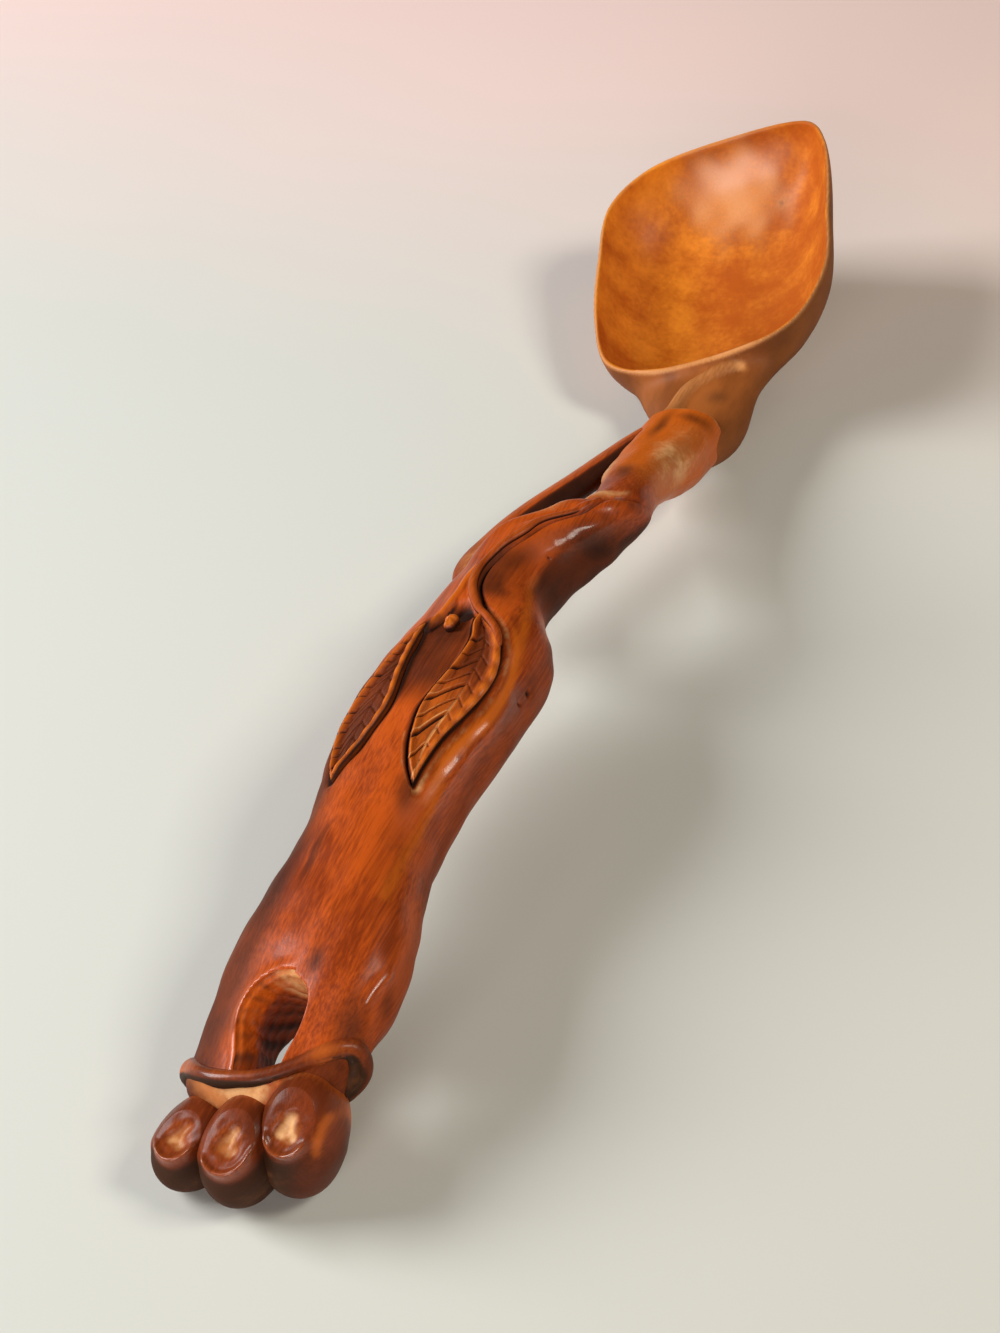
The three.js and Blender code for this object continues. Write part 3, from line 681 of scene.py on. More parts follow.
def cut_back(along, arc):
    """How deep the knife went round the leaves and the vine, with the masks that go with it."""
    right = -depth_inside(along, arc, leaf_loops["leaf_right"])
    left = -depth_inside(along, arc, leaf_loops["leaf_left"])
    rib = leaf_lines["leaf_right"]["rib"]
    outer = arc < np.interp(-along, -rib[:, 0], rib[:, 1])
    moat_wide = np.where(outer, OUTER_MOAT_WIDE, INNER_MOAT_WIDE)
    moat = np.clip(1 - np.maximum(right, 0) / moat_wide, 0, 1) ** 1.3
    groove = np.clip(1 - np.maximum(left, 0) / LEFT_CUT_WIDE, 0, 1) ** 1.3
    sunk = soft_step(depth_inside(along, arc, ground_loop), -0.5, 0.7) * soft_step(along, 71.5, 80)
    pit = np.clip(1.6 * hump(np.hypot((along - PIT_SPOT[0]) / 1.2, (arc - PIT_SPOT[1]) / 1.3), 1.8), 0, 1)
    depth = np.maximum.reduce([MOAT_DEEP * moat, LEFT_CUT_DEEP * groove, GROUND_DEEP * sunk, PIT_DEEP * pit])
    bed = np.maximum(soft_step(-right, 0.3, 0.8), soft_step(-left, 0.3, 0.8))
    edges = np.maximum(hump(right - 0.2, 0.5), hump(left - 0.4, 0.75))
    dirt = np.maximum.reduce([edges, 0.63 * np.sqrt(sunk), pit, 0.4 * moat])
    dust = 0.35 * hump(right - 1.4, 0.6) * outer + 0.3 * hump(right - 1.0, 0.3) * (along < 68)
    rubbed = 0.4 * hump(right - moat_wide - 0.4, 0.6) * outer
    rubbed = rubbed + 0.55 * hump(left - 1.7, 0.45) * (arc > 6) * soft_step(along, 60, 66)
    return np.maximum(depth * (1 - bed), LEAF_BED_DEEP * bed), dirt, dust, rubbed


def vine_bed(along, arc):
    """The swell under the vine, the dark cut on its right and the red ground beyond the cut."""
    gap, _ = away(along, arc, vine_line)
    on_right = arc < np.interp(along, vine_line[:, 0], vine_line[:, 1])
    here = soft_step(along, 95, 97) * soft_step(-along, -137, -131)
    swell = 0.35 * hump(gap, 1.2) * here
    cut = np.where(on_right, hump(gap - 1.2, 0.45), 0.15 * hump(gap - 1.1, 0.3)) * here
    ground = np.where(on_right, soft_step(-gap, -9.0, -4.0), 0) * here
    ground = ground * soft_step(-along, -122, -112) * soft_step(along, 97, 103)
    dirt = np.maximum(cut * (1 - 0.5 * soft_step(along, 106, 114)), 0.65 * ground)
    return swell - 0.7 * cut - 0.2 * ground, dirt


print("deepest cut at the pit:", cut_back(*np.array(PIT_SPOT)[:, None])[0].round(2), "mm")

# %% Shape the knuckle, the sheath and the slot's lip
# Spots on the skin: middle along and round, half length, half width.
FLAP = (127.0, 3.3, 6.5, 2.0)
SHEATH_EDGE = (153.0, 5.4, 10.0, 2.2)
SHEATH_PALE = (166.0, -6.4, 14.0, 5.4)
HEEL_PALE = (19.6, -15.2, 1.6, 1.8)
HEEL_DARK = (21.0, -12.8, 5.0, 4.2)
KNUCKLE_DARK = (125.6, -11.4, 9.0, 7.0)
TONGUE_DARK = [(183.0, -4.5, 2.4, 5.0), (178.0, 1.0, 8.0, 1.8), (150.0, 0.5, 7.0, 2.5)]
SMUDGES = [(24.8, 8.8, 2.5, 1.8), (27.0, -4.6, 2.2, 1.4), (17.0, 6.5, 3.0, 3.5),
           (58.0, -7.5, 5.0, 2.2), (44.0, 3.0, 7.0, 1.2), (26.5, -17.6, 4.0, 2.4)]
# Pin holes: along, round and how wide each is.
PIN_HOLES = [(87.2, -20.0, 0.6), (84.2, -19.6, 0.35), (117.0, -9.2, 0.3)]
# Rubbed edges that shine: how wide each is, and places along and round with the height there.
SHINING_EDGES = [
    (2.1, [(119.5, -9.6, 0.2), (122.0, -8.5, 0.65), (125.2, -7.2, 0.65), (128.5, -5.8, 0.5),
           (131, -4.8, 0.2)]),
    (0.9, [(23.8, -13.3, 0.45), (26.5, -14.1, 0.45), (29.5, -15.4, 0.45)]),
    (2.2, [(60, -12.6, 0.2), (65.6, -14, 0.7), (71.4, -15.2, 1), (76, -16.4, 1.3), (79, -17.1, 0.9),
           (84, -18, 0)]),
]
# Where the knuckle ends and the sheath begins: along and round, from left to right.
CREASE_LINE = [(134.2, 3.2), (133.8, 0.4), (134.4, -1.8), (135.8, -3.4), (137.4, -4.6), (138.8, -6.2),
               (140.8, -8.0), (143.0, -10.0)]
# How high a form stands or how deep a cut goes, in millimetres.
FLAP_HIGH = 1.5
SHEATH_EDGE_HIGH = 1.3
LIP_HIGH = 0.45
HOLE_DEEP = 0.7
KNUCKLE_HIGH = 0.7
CREASE_DEEP = 0.8
# The wrist band: its place along, how far it slants to the sides and how far it dips in the middle.
WRIST_WIDTH = 24.0
BAND_ALONG = 16.0
BAND_SLANT = 3.0
BAND_DIP = 5.5


def spot(along, arc, place):
    """1 in the middle of an oval spot on the skin, fading to nearly 0 at twice its half sizes."""
    return hump(np.hypot((along - place[0]) / place[2], (arc - place[1]) / place[3]), 1.0)


def knuckle_end(along, arc):
    """The lump that closes the knuckle, the crease behind it and the pale lip of the sheath."""
    crease = np.array(CREASE_LINE)
    past = along - np.interp(-arc, -crease[:, 1], crease[:, 0])
    here = soft_step(arc, -13, -9) * (1 - soft_step(arc, 3, 5))
    lump = hump(past + 3.4, 3.0) * here
    cut = hump(past - 0.4, 0.8) * here * (0.3 + 0.7 * soft_step(arc, -6, -2))
    pale = hump(past - 2.6, 1.8) * soft_step(arc, -5, 0) * here
    return KNUCKLE_HIGH * lump - CREASE_DEEP * cut, 0.4 * cut, 0.7 * pale


def shining_edges(along, arc):
    """How high the rubbed edges stand, and where they shine."""
    height = 0
    shine = 0
    for wide, places in SHINING_EDGES:
        line = np.array(places)
        crest = hump(away(along, arc, smooth_line(line[:, :2], False, 8))[0], wide)
        height = height + crest * np.interp(along, line[:, 0], line[:, 2])
        shine = shine + crest * (0.75 + 0.25 * np.sin(2.1 * along) * np.sin(3.3 * arc + along))
    return height, shine


def local_forms(along, arc):
    """Forms of the branch itself: the flap over the gap, the sheath's edge, the slot's lip, pin holes."""
    flap = spot(along, arc, FLAP) * (1 - soft_step(arc, 3.6, 5.6))
    edge = spot(along, arc, SHEATH_EDGE)
    outside = -depth_inside(along, arc, slot_loop)
    lip = hump(outside - 1.1, 0.8) * soft_step(arc, -3.0, 1.5)
    holes = sum(hump(np.hypot(along - a, arc - r), size) for a, r, size in PIN_HOLES)
    knuckle, crease_dirt, crease_pale = knuckle_end(along, arc)
    edges, shine = shining_edges(along, arc)
    height = FLAP_HIGH * flap + SHEATH_EDGE_HIGH * edge + LIP_HIGH * lip - HOLE_DEEP * holes
    height = height + knuckle + edges
    sheath = soft_step(along, 138, 158)
    belt = BAND_ALONG + BAND_SLANT * np.clip(-2 * arc / WRIST_WIDTH, -1, 1) - BAND_DIP * hump(arc, 9.0)
    below = belt - along
    ground = soft_step(below, -0.6, 0.6) * (1 - soft_step(below, 3.0, 6.0)) * hump(arc - 2.5, 8.0)
    left_flank = soft_step(arc, 1, 8) * soft_step(-along, -100, -75)
    right_under = soft_step(-arc, 7.5, 11.0) * soft_step(along, 100, 114) * (1 - soft_step(along, 138, 146))
    # On the right, just below the band, the skin is darkened as a painted shadow of the band.
    dark = [0.85 * spot(along, arc, KNUCKLE_DARK), 0.62 * spot(along, arc, HEEL_DARK), 0.7 * left_flank,
            np.clip(holes, 0, 1), crease_dirt, 0.75 * right_under, 0.5 * soft_step(below, 3.5, 6.0),
            0.4 * soft_step(-arc, 14.5, 19.0), 0.6 * soft_step(below, 0.2, 1.6) * soft_step(-arc, 4.0, 7.0)]
    dark += [0.6 * spot(along, arc, place) for place in TONGUE_DARK + SMUDGES]
    pale = 0.68 * spot(along, arc, SHEATH_PALE) + 0.45 * spot(along, arc, HEEL_PALE) + crease_pale
    masks = {
        "wear": 0.35 * lip + 0.72 * sheath + 0.3 * flap,
        "raw": 0.9 * edge + 0.4 * soft_step(along, 185.6, 186.6) + 0.4 * flap + ground + pale,
        "oil": shine + 0.5 * lip,
        "groove": np.maximum.reduce(dark),
    }
    return height, masks


def carving(along, arc):
    """The height of the carved skin, and its masks."""
    depth, dirt, dust, rubbed = cut_back(along, arc)
    swell, vine_dirt = vine_bed(along, arc)
    form, masks = local_forms(along, arc)
    ridge, _ = away(along, arc, rubbed_line)
    stem_gap, _ = away(along, arc, left_stem)
    stem = hump(stem_gap, 0.6)
    beside = arc < np.interp(-along, -left_stem[:, 0], left_stem[:, 1])
    stem_cut = hump(stem_gap - 1.1, 0.5) * beside * soft_step(-along, -101, -97)
    masks["wear"] = masks["wear"] + 0.65 * hump(ridge, 1.4) + rubbed + 0.9 * stem
    masks["raw"] = masks["raw"] + dust
    join = (1 - soft_step(away(along, arc, vine_line)[0], 0.5, 1.2)) * soft_step(along, 93, 95)
    masks["groove"] = np.maximum.reduce([masks["groove"], dirt * (1 - join), vine_dirt, 0.9 * stem_cut])
    return form + swell * (depth < 0.3) - depth + 0.5 * stem - 0.4 * stem_cut * (depth < 0.5), masks


print("the flap stands", carving(*np.array(FLAP[:2])[:, None])[0].round(2), "mm high")

# %% [markdown]
# ## The handle
# A dense grid of points is laid on the branch's skin, finer where the carving is, and each point
# moves in or out by the map. The tool also left long shallow facets, which a slow wave gives. The
# grid closes in a point at both ends.

# %% Lay the handle's grid and carve it
CARVED_FROM = 54.0
CARVED_TO = 144.0
CARVED_STEP = 0.3
PLAIN_STEP = 0.8
HANDLE_TURNS = 208
END_ROUND = 3.0


def handle_rows():
    """Places along the handle for its rings, close together where it is carved."""
    ends = END_ROUND * (1 - np.cos(np.linspace(0.05, math.pi / 2, 7)))
    plain = np.arange(HANDLE_START + END_ROUND + 0.5, CARVED_FROM, PLAIN_STEP)
    carved = np.arange(CARVED_FROM, CARVED_TO, CARVED_STEP)
    far = np.arange(CARVED_TO, HANDLE_END - END_ROUND - 0.2, PLAIN_STEP)
    return np.concatenate([HANDLE_START + ends, plain, carved, far, HANDLE_END - ends[::-1]])


def tool_marks(along, arc):
    """Long shallow facets that the knife leaves."""
    first = np.sin(along * 0.31 + arc * 0.55) * np.sin(arc * 0.9 - along * 0.07)
    second = np.sin(along * 0.83 + 1.3) * np.sin(arc * 0.37 + 0.5)
    return 0.1 * first + 0.07 * second


rows = handle_rows()
turns = np.linspace(-0.5, 0.5, HANDLE_TURNS, endpoint=False)
shares = turns - 0.5 * np.sin(2 * math.pi * turns) / (2 * math.pi)
along, share = np.meshgrid(rows, shares, indexing="ij")
arc = share * round_at(along)
points = skin_point(along, arc)
out = skin_out(np.clip(along, HANDLE_START + 0.4, HANDLE_END - 0.4), arc)
height, handle_masks = carving(along, arc)
height = height + np.minimum(tool_marks(along, arc) - 0.12, 0)
from_end = np.clip(np.minimum(along - HANDLE_START, HANDLE_END - along) / END_ROUND, 0, 1)
shrink = np.sqrt(1 - (1 - from_end) ** 2)
centres = np.column_stack([rows, handle_at(rows)[:, :2]])[:, None, :]
height = height * soft_step(from_end, 0.5, 1)
points = points + out * height[..., None]
points = centres + (points - centres) * shrink[..., None]
print("handle grid:", points.shape[0], "rings of", points.shape[1])

# %% Close the handle's ends
handle_points = np.concatenate([points.reshape(-1, 3), points[:1].mean(axis=1), points[-1:].mean(axis=1)])
faces = [face[::-1] for face in capped_faces(len(rows), HANDLE_TURNS)]
handle_masks = {name: np.concatenate([values.ravel(), [0, 0]]) for name, values in handle_masks.items()}
handle = finish_piece("handle", handle_points, faces, "handle_wood", handle_masks)

# %% [markdown]
# The hanging slot goes down through the wrist. Its edge was drawn on the skin, its walls widen towards
# the underside, and its mouth is rounded over. A boolean alone leaves a sharp edge, so the rounding is
# built into the cutter: it flares out where it comes near the skin.

# %% Make the slot's cutter
SLOT_AXIS = np.array([0.22, -0.45, -0.8])
SLOT_FLARE = 0.08
SLOT_LEFT_FLARE = 0.32
SLOT_NECK = 3.0
SLOT_EDGE = 0.75


def wood_depth(points):
    """How deep points lie in the plain branch; outside it is below zero."""
    side, up, wide, deep, lean = handle_at(points[:, 0]).T
    lean = np.radians(lean)
    y = points[:, 1] - side
    z = points[:, 2] - up
    across = np.abs(y * np.cos(lean) - z * np.sin(lean)) * 2 / wide + 1e-6
    height = np.abs(y * np.sin(lean) + z * np.cos(lean)) * 2 / deep + 1e-6
    level = (across ** HANDLE_BOXY + height ** HANDLE_BOXY) ** (1 / HANDLE_BOXY)
    slope = level ** (1 - HANDLE_BOXY) * np.hypot(across ** (HANDLE_BOXY - 1) * 2 / wide,
                                                  height ** (HANDLE_BOXY - 1) * 2 / deep)
    return (1 - level) / slope


def slot_cutter():
    """A bar through the wrist that follows the slot's edge, with the masks of its walls: painted light near
    the mouth and painted shade deeper down.
    """
    axis = unit(SLOT_AXIS)
    edge = skin_point(slot_loop[:, 0], slot_loop[:, 1])
    ahead = np.roll(edge, -1, axis=0) - np.roll(edge, 1, axis=0)
    outward = unit(np.cross(axis, ahead))
    outward = outward * np.sign(((edge - edge.mean(axis=0)) * outward).sum())
    levels = np.concatenate([np.arange(-4, 4, 0.2), np.arange(4, 30, 0.35)])
    grid = edge + axis * levels[:, None, None]
    left = soft_step(slot_loop[:, 1], -1, 2.5)
    flare = (SLOT_FLARE + SLOT_LEFT_FLARE * left)[:, None]
    grid = grid + outward * flare * np.maximum(levels - SLOT_NECK, 0)[:, None, None]
    depth = wood_depth(grid.reshape(-1, 3)).reshape(grid.shape[:2])
    short = np.clip(SLOT_EDGE - depth, 0, SLOT_EDGE)
    grid = grid + outward * (SLOT_EDGE - np.sqrt(SLOT_EDGE ** 2 - short ** 2))[..., None]
    arch = soft_step(slot_loop[:, 0], 20.5, 23.0) * (1 - left)
    deep = levels[:, None]
    turn = np.arange(len(slot_loop)) * 2 * math.pi / len(slot_loop)
    chips = np.sin(9 * turn + 0.9 * deep) * np.sin(1.7 * deep - 4 * turn) + np.sin(17 * turn - 1.3 * deep)
    grid = grid + outward * (0.13 * (chips - 2) * soft_step(deep, 1.0, 2.5))[..., None]
    near_band = 1 - soft_step(slot_loop[:, 0], 12.5, 16.5)
    # The walls are painted darker with depth, as painted shade, and darker near the band; the left wall is
    # painted lighter near the mouth, as painted light.
    darkening = 0.26 + 0.4 * soft_step(deep, 1.5, 8.0) - 0.18 * chips + 0.35 * near_band
    masks = {
        "wear": 0.45 * left * (1 - soft_step(deep, 1.5, 6.0)),
        "raw": (0.6 + 0.15 * chips) * arch * (1 - soft_step(deep, 6.0, 11.0)),
        "groove": darkening * (1 - 0.2 * left) * (1 - 0.6 * arch),
    }
    return grid, masks


cutter_grid, cutter_masks = slot_cutter()
levels, sides = cutter_grid.shape[:2]
cutter_faces = grid_faces(levels, sides, True).tolist()
cutter_faces.append(list(range(sides))[::-1])
cutter_faces.append(list(range((levels - 1) * sides, levels * sides)))
cutter_mesh = bpy.data.meshes.new("slot_cutter")
cutter_mesh.from_pydata(to_frame(cutter_grid.reshape(-1, 3)).tolist(), [], cutter_faces)
for mask, values in cutter_masks.items():
    put_value(cutter_mesh, mask, values)
cutter_mesh.materials.append(finishes["handle_wood"])
cutter_mesh.shade_smooth()
cutter = bpy.data.objects.new("slot_cutter", cutter_mesh)
bpy.context.collection.objects.link(cutter)
print("slot cutter with", len(cutter_faces), "faces")

# %% Cut the hanging slot
slot_cut = handle.modifiers.new("slot", "BOOLEAN")
slot_cut.object = cutter
slot_cut.operation = "DIFFERENCE"
slot_cut.solver = "MANIFOLD"
whole = handle.data
handle.data = bpy.data.meshes.new_from_object(handle.evaluated_get(bpy.context.evaluated_depsgraph_get()))
handle.modifiers.remove(slot_cut)
bpy.data.objects.remove(cutter)
print("handle with its slot:", len(whole.polygons), "to", len(handle.data.polygons), "faces")

# %% [markdown]
# ## The leaves
# Each leaf is a thin carved slab let into the skin. The right edge of a leaf is a thick rounded cord,
# its left edge is broken by long slanting strokes of the knife, and the field between is sunk. Towards
# the tip the veins are fine pale scratches. Sums over the distances from the edges and the midrib give
# all of that at once, which is simpler than cutting vein by vein.

# %% Carve the leaves
LEAF_ROWS = 200
LEAF_COLUMNS = 64
LEAF_SEAT = -1.15
LEAF_LOOK = {
    "leaf_right": {"cord": (1.5, 0.7), "pitch": 3.5, "slant": 1.5, "strokes": (0.1, 0.95), "dark_to": 0.5},
    "leaf_left": {"cord": (1.2, 0.8), "pitch": 2.5, "slant": 1.4, "strokes": (0.08, 1.1), "dark_to": 1.3},
}
RUNG_PITCH = 3.2


def repeated(value, pitch, width):
    """1 on evenly spaced lines, nearly 0 between them."""
    return hump(value - pitch * np.round(value / pitch), width)


def leaf_relief(look, share, along, from_right, from_left, beside):
    """The height of a leaf's face and its masks; beside is the way to the left of the midrib."""
    rim = np.minimum(from_right, from_left)
    wide = soft_step(from_right + from_left, 0.4, 2.5)
    cord_wide = look["cord"][0] + (look["cord"][1] - look["cord"][0]) * soft_step(share, 0.35, 0.75)
    lobes = 0.75 + 0.25 * np.cos(2 * math.pi * along / RUNG_PITCH)
    cord = hump((from_right - 0.5 * cord_wide) / cord_wide, 0.6) * lobes
    border = hump(from_left - 0.4, 0.38)
    first, last = look["strokes"]
    slanted = along - look["slant"] * from_left
    slanted = slanted + 0.5 * np.sin(0.9 * slanted)
    on_left = soft_step(beside, -0.2, 0.4)
    cut_here = on_left * soft_step(share, first, first + 0.1) * (1 - soft_step(share, last, last + 0.1))
    stroke = repeated(slanted, look["pitch"], 0.26) * cut_here * soft_step(from_left, 0.1, 0.5)
    scratch = repeated(slanted - 0.62, look["pitch"], 0.17) * cut_here
    rung = repeated(along + 0.9 * np.abs(beside), RUNG_PITCH, 0.24) * (1 - on_left)
    midrib = hump(beside, 0.2) * soft_step(rim, 0.3, 0.9)
    field = soft_step(from_right, 0.7 * cord_wide, 1.4 * cord_wide) * soft_step(from_left, 0.45, 1.1) * wide
    shaded = 1 - soft_step(share, look["dark_to"] - 0.2, look["dark_to"] + 0.1)
    height = 0.15 + (0.3 * cord + 0.2 * border * (1 - stroke)) * wide - (0.4 + 0.4 * shaded) * field
    height = height - 0.6 * stroke * wide - 0.25 * rung * field - 0.2 * midrib * wide - 0.35 * hump(rim, 0.2)
    masks = {
        "wear": np.maximum(cord, 0.85 * border * (1 - stroke)) + 0.45 * (1 - shaded) * field,
        "groove": np.maximum.reduce([stroke, 0.6 * shaded * field, 0.55 * rung * field,
                                     0.9 * hump(rim, 0.15)]),
        "raw": (1 - shaded) * np.maximum(0.9 * midrib, 0.75 * scratch) + 0.2 * shaded * scratch,
    }
    return height, masks


def leaf_piece(name):
    """One leaf: a slab on the skin, carved on top."""
    lines = leaf_lines[name]
    start = lines["rib"][0, 0]
    end = lines["rib"][-1, 0]
    share = np.linspace(0.004, 0.996, LEAF_ROWS)
    row_along = start + (end - start) * share
    right, left, rib = (np.interp(-row_along, -lines[part][:, 0], lines[part][:, 1])[:, None]
                        for part in ("right", "left", "rib"))
    across = np.linspace(0, 1, LEAF_COLUMNS)
    across = 0.5 * across + 0.25 * (1 - np.cos(math.pi * across))
    arc = right + (left - right) * across
    along = np.broadcast_to(row_along[:, None], arc.shape)
    height, masks = leaf_relief(LEAF_LOOK[name], share[:, None], along, arc - right, left - arc, arc - rib)
    upper = skin_point(along, arc) + skin_out(along, arc) * height[..., None]
    lower = skin_point(along, arc) + skin_out(along, arc) * LEAF_SEAT
    loop = np.concatenate([upper, lower[:, ::-1]], axis=1)
    rows, columns = loop.shape[:2]
    faces = grid_faces(rows, columns, True).tolist()
    top = (rows - 1) * columns
    for j in range(LEAF_COLUMNS - 1):
        other = columns - 1 - j
        faces.append([j + 1, j, other, other - 1])
        faces.append([top + j, top + j + 1, top + other - 1, top + other])
    plain = np.zeros_like(height)
    both = {key: np.concatenate([value, plain], axis=1).ravel() for key, value in masks.items()}
    return finish_piece(name, loop.reshape(-1, 3), faces, "carved_wood", both)


for name in LEAF_LINES:
    leaf_piece(name)

# %% [markdown]
# ## Members that follow a path
# The vine, the side strand and the wrist band are all one profile led along a path. Geometry Nodes do
# that: the path's points carry how thick the member is and which way is out of the wood, and the
# tree sweeps an oval along them. The width and depth are inputs, so each member sets its own.

# %% Build the sweep as a node tree


def sweep_tree():
    """A node tree that sweeps an oval along the edges of a mesh."""
    tree = bpy.data.node_groups.new("member_along_path", "GeometryNodeTree")
    face = tree.interface
    face.new_socket("Path", in_out="INPUT", socket_type="NodeSocketGeometry")
    face.new_socket("Width", in_out="INPUT", socket_type="NodeSocketFloat")
    face.new_socket("Depth", in_out="INPUT", socket_type="NodeSocketFloat")
    face.new_socket("Sides", in_out="INPUT", socket_type="NodeSocketInt")
    face.new_socket("Wood", in_out="INPUT", socket_type="NodeSocketMaterial")
    face.new_socket("Member", in_out="OUTPUT", socket_type="NodeSocketGeometry")

    def add(kind, settings=None, sockets=None):
        return add_node(tree, kind, settings, sockets)

    given = add("NodeGroupInput")
    path = add("GeometryNodeMeshToCurve", None, {"Mesh": given.outputs["Path"]})
    out = add("GeometryNodeInputNamedAttribute", {"data_type": "FLOAT_VECTOR"}, {"Name": "out"})
    swell = add("GeometryNodeInputNamedAttribute", {"data_type": "FLOAT"}, {"Name": "swell"})
    turned = add("GeometryNodeSetCurveNormal", {"mode": "FREE"},
                 {"Curve": path.outputs[0], "Normal": out.outputs[0]})
    circle = add("GeometryNodeCurvePrimitiveCircle", None,
                 {"Resolution": given.outputs["Sides"], "Radius": 0.5})
    size = add("ShaderNodeCombineXYZ", None,
               {"X": given.outputs["Width"], "Y": given.outputs["Depth"], "Z": 1.0})
    oval = add("GeometryNodeTransform", None, {"Geometry": circle.outputs[0], "Scale": size.outputs[0]})
    swept = add("GeometryNodeCurveToMesh", None,
                {"Curve": turned.outputs[0], "Profile Curve": oval.outputs[0],
                 "Scale": swell.outputs[0], "Fill Caps": True})
    real = add("GeometryNodeRealizeInstances", None, {"Geometry": swept.outputs[0]})
    painted = add("GeometryNodeSetMaterial", None,
                  {"Geometry": real.outputs[0], "Material": given.outputs["Wood"]})
    add("NodeGroupOutput", None, {"Member": painted.outputs[0]})
    return tree


SWEEP = sweep_tree()


def swept_member(name, path, out, swell, oval, slot, closed=False):
    """Points and faces of an oval (width, depth, sides) led along a path, in millimetres on the ladle."""
    width, depth, sides = oval
    mesh = bpy.data.meshes.new(name + "_path")
    count = len(path)
    edges = [(i, i + 1) for i in range(count - 1)] + ([(count - 1, 0)] if closed else [])
    mesh.from_pydata(to_frame(path).tolist(), edges, [])
    put_value(mesh, "out", out, "FLOAT_VECTOR", "vector")
    put_value(mesh, "swell", swell)
    holder = bpy.data.objects.new(name + "_path", mesh)
    bpy.context.collection.objects.link(holder)
    sweep = holder.modifiers.new("sweep", "NODES")
    sweep.node_group = SWEEP
    values = {"Width": width * MM, "Depth": depth * MM, "Sides": sides, "Wood": finishes[slot]}
    for socket in SWEEP.interface.items_tree:
        if socket.name in values:
            sweep[socket.identifier] = values[socket.name]
    made = bpy.data.meshes.new_from_object(holder.evaluated_get(bpy.context.evaluated_depsgraph_get()))
    faces = [list(face.vertices) for face in made.polygons]
    holder.modifiers.remove(sweep)
    bpy.data.objects.remove(holder)
    return mesh_points(made) / MM + FOOT, faces


def beside_path(points, path, out):
    """For each point the nearest step of a path, and how far out of the wood it lies from there."""
    nearest = np.argmin(np.linalg.norm(points[:, None] - path[None], axis=2), axis=1)
    return nearest, ((points - path[nearest]) * out[nearest]).sum(axis=1)


print("sweep tree with", len(SWEEP.nodes), "nodes")

# %% [markdown]
# ## The vine
# The vine is a low rounded cord that climbs over the shoulder, thins out near the knuckle and ends
# in the fork above the leaves. It is swept along its line on the skin and half sunk in the wood.

# %% Lay the vine
# The width, the depth and the number of sides of the oval.
VINE_OVAL = (1.5, 1.7, 20)
VINE_STEPS = 150
VINE_END_SHARE = 0.035
VINE_LIFT = 0.05


def even_steps(line, count):
    """The same line with evenly spaced points."""
    run = np.concatenate([[0], np.cumsum(np.linalg.norm(np.diff(line, axis=0), axis=1))])
    places = np.linspace(0, run[-1], count)
    return np.column_stack([np.interp(places, run, line[:, k]) for k in range(line.shape[1])])


vine_steps = even_steps(vine_line, VINE_STEPS)
vine_share = np.linspace(0, 1, VINE_STEPS)
vine_out = skin_out(vine_steps[:, 0], vine_steps[:, 1])
vine_path = skin_point(vine_steps[:, 0], vine_steps[:, 1]) + VINE_LIFT * vine_out
to_end = np.minimum(vine_share, 1 - vine_share)
round_ends = np.sqrt(np.clip(1 - (1 - to_end / VINE_END_SHARE) ** 2, 0.02, 1))
round_ends = np.where(to_end > VINE_END_SHARE, 1, round_ends)
vine_swell = 0.75 + 0.25 * soft_step(vine_share, 0, 0.3) - 0.2 * vine_share + 0.06 * np.sin(21 * vine_share)
vine_swell = round_ends * vine_swell
points, faces = swept_member("vine_stem", vine_path, vine_out, vine_swell, VINE_OVAL, "carved_wood")
_, rise = beside_path(points, vine_path, vine_out)
vine_masks = {"wear": soft_step(rise, 0.5, 1.0), "groove": soft_step(-rise, -0.5, 0.1)}
finish_piece("vine_stem", points, faces, "carved_wood", vine_masks)

# %% [markdown]
# ## The side strand
# A strip of the branch was freed from the trunk: it leaves the bowl's neck, runs beside a gap that
# goes right through, and ends in a worn knob on the left of the shoulder.

# %% Sweep the side strand
STRAND_WIDTH = 4.6
STRAND_DEPTH = 7.5
STRAND_SIDES = 40
STRAND_ROUND = 3.0
STRAND_LEAN = math.radians(20)
# Along, side, up, width and depth.
STRAND_STATIONS = [
    (119, 12.4, 18.4, 7, 8.5), (125, 15.6, 17.6, 7, 8.5), (133, 15.8, 17.6, STRAND_WIDTH, STRAND_DEPTH),
    (141, 13.7, 17.8, STRAND_WIDTH, STRAND_DEPTH), (157, 8.7, 17, STRAND_WIDTH, STRAND_DEPTH),
    (174, 4.1, 15.6, STRAND_WIDTH, STRAND_DEPTH), (193, 1.6, 10.4, STRAND_WIDTH, STRAND_DEPTH),
]
STRAND_START = STRAND_STATIONS[0][0]
STRAND_END = STRAND_STATIONS[-1][0]
strand_at = course(STRAND_STATIONS)
round_start = STRAND_START + STRAND_ROUND * (1 - np.cos(np.linspace(0.15, 1.5, 12)))
strand_along = np.concatenate([round_start, np.linspace(STRAND_START + STRAND_ROUND + 0.2, STRAND_END, 150)])
side, up, wide, deep = strand_at(strand_along).T
strand_path = np.column_stack([strand_along, side, up])
ahead = np.gradient(strand_path, axis=0)
strand_top = np.array([0, math.sin(STRAND_LEAN), math.cos(STRAND_LEAN)])
strand_out = strand_top - ahead * (ahead @ strand_top)[:, None] / (ahead ** 2).sum(axis=1, keepdims=True)
strand_out = unit(strand_out)
near_end = np.clip((strand_along - STRAND_START) / STRAND_ROUND, 0.02, 1)
strand_swell = np.sqrt(1 - (1 - near_end) ** 2) * deep / STRAND_DEPTH
strand_oval = (STRAND_WIDTH, STRAND_DEPTH, STRAND_SIDES)
points, faces = swept_member("side_strand", strand_path, strand_out, strand_swell, strand_oval, "handle_wood")
nearest, height = beside_path(points, strand_path, strand_out)
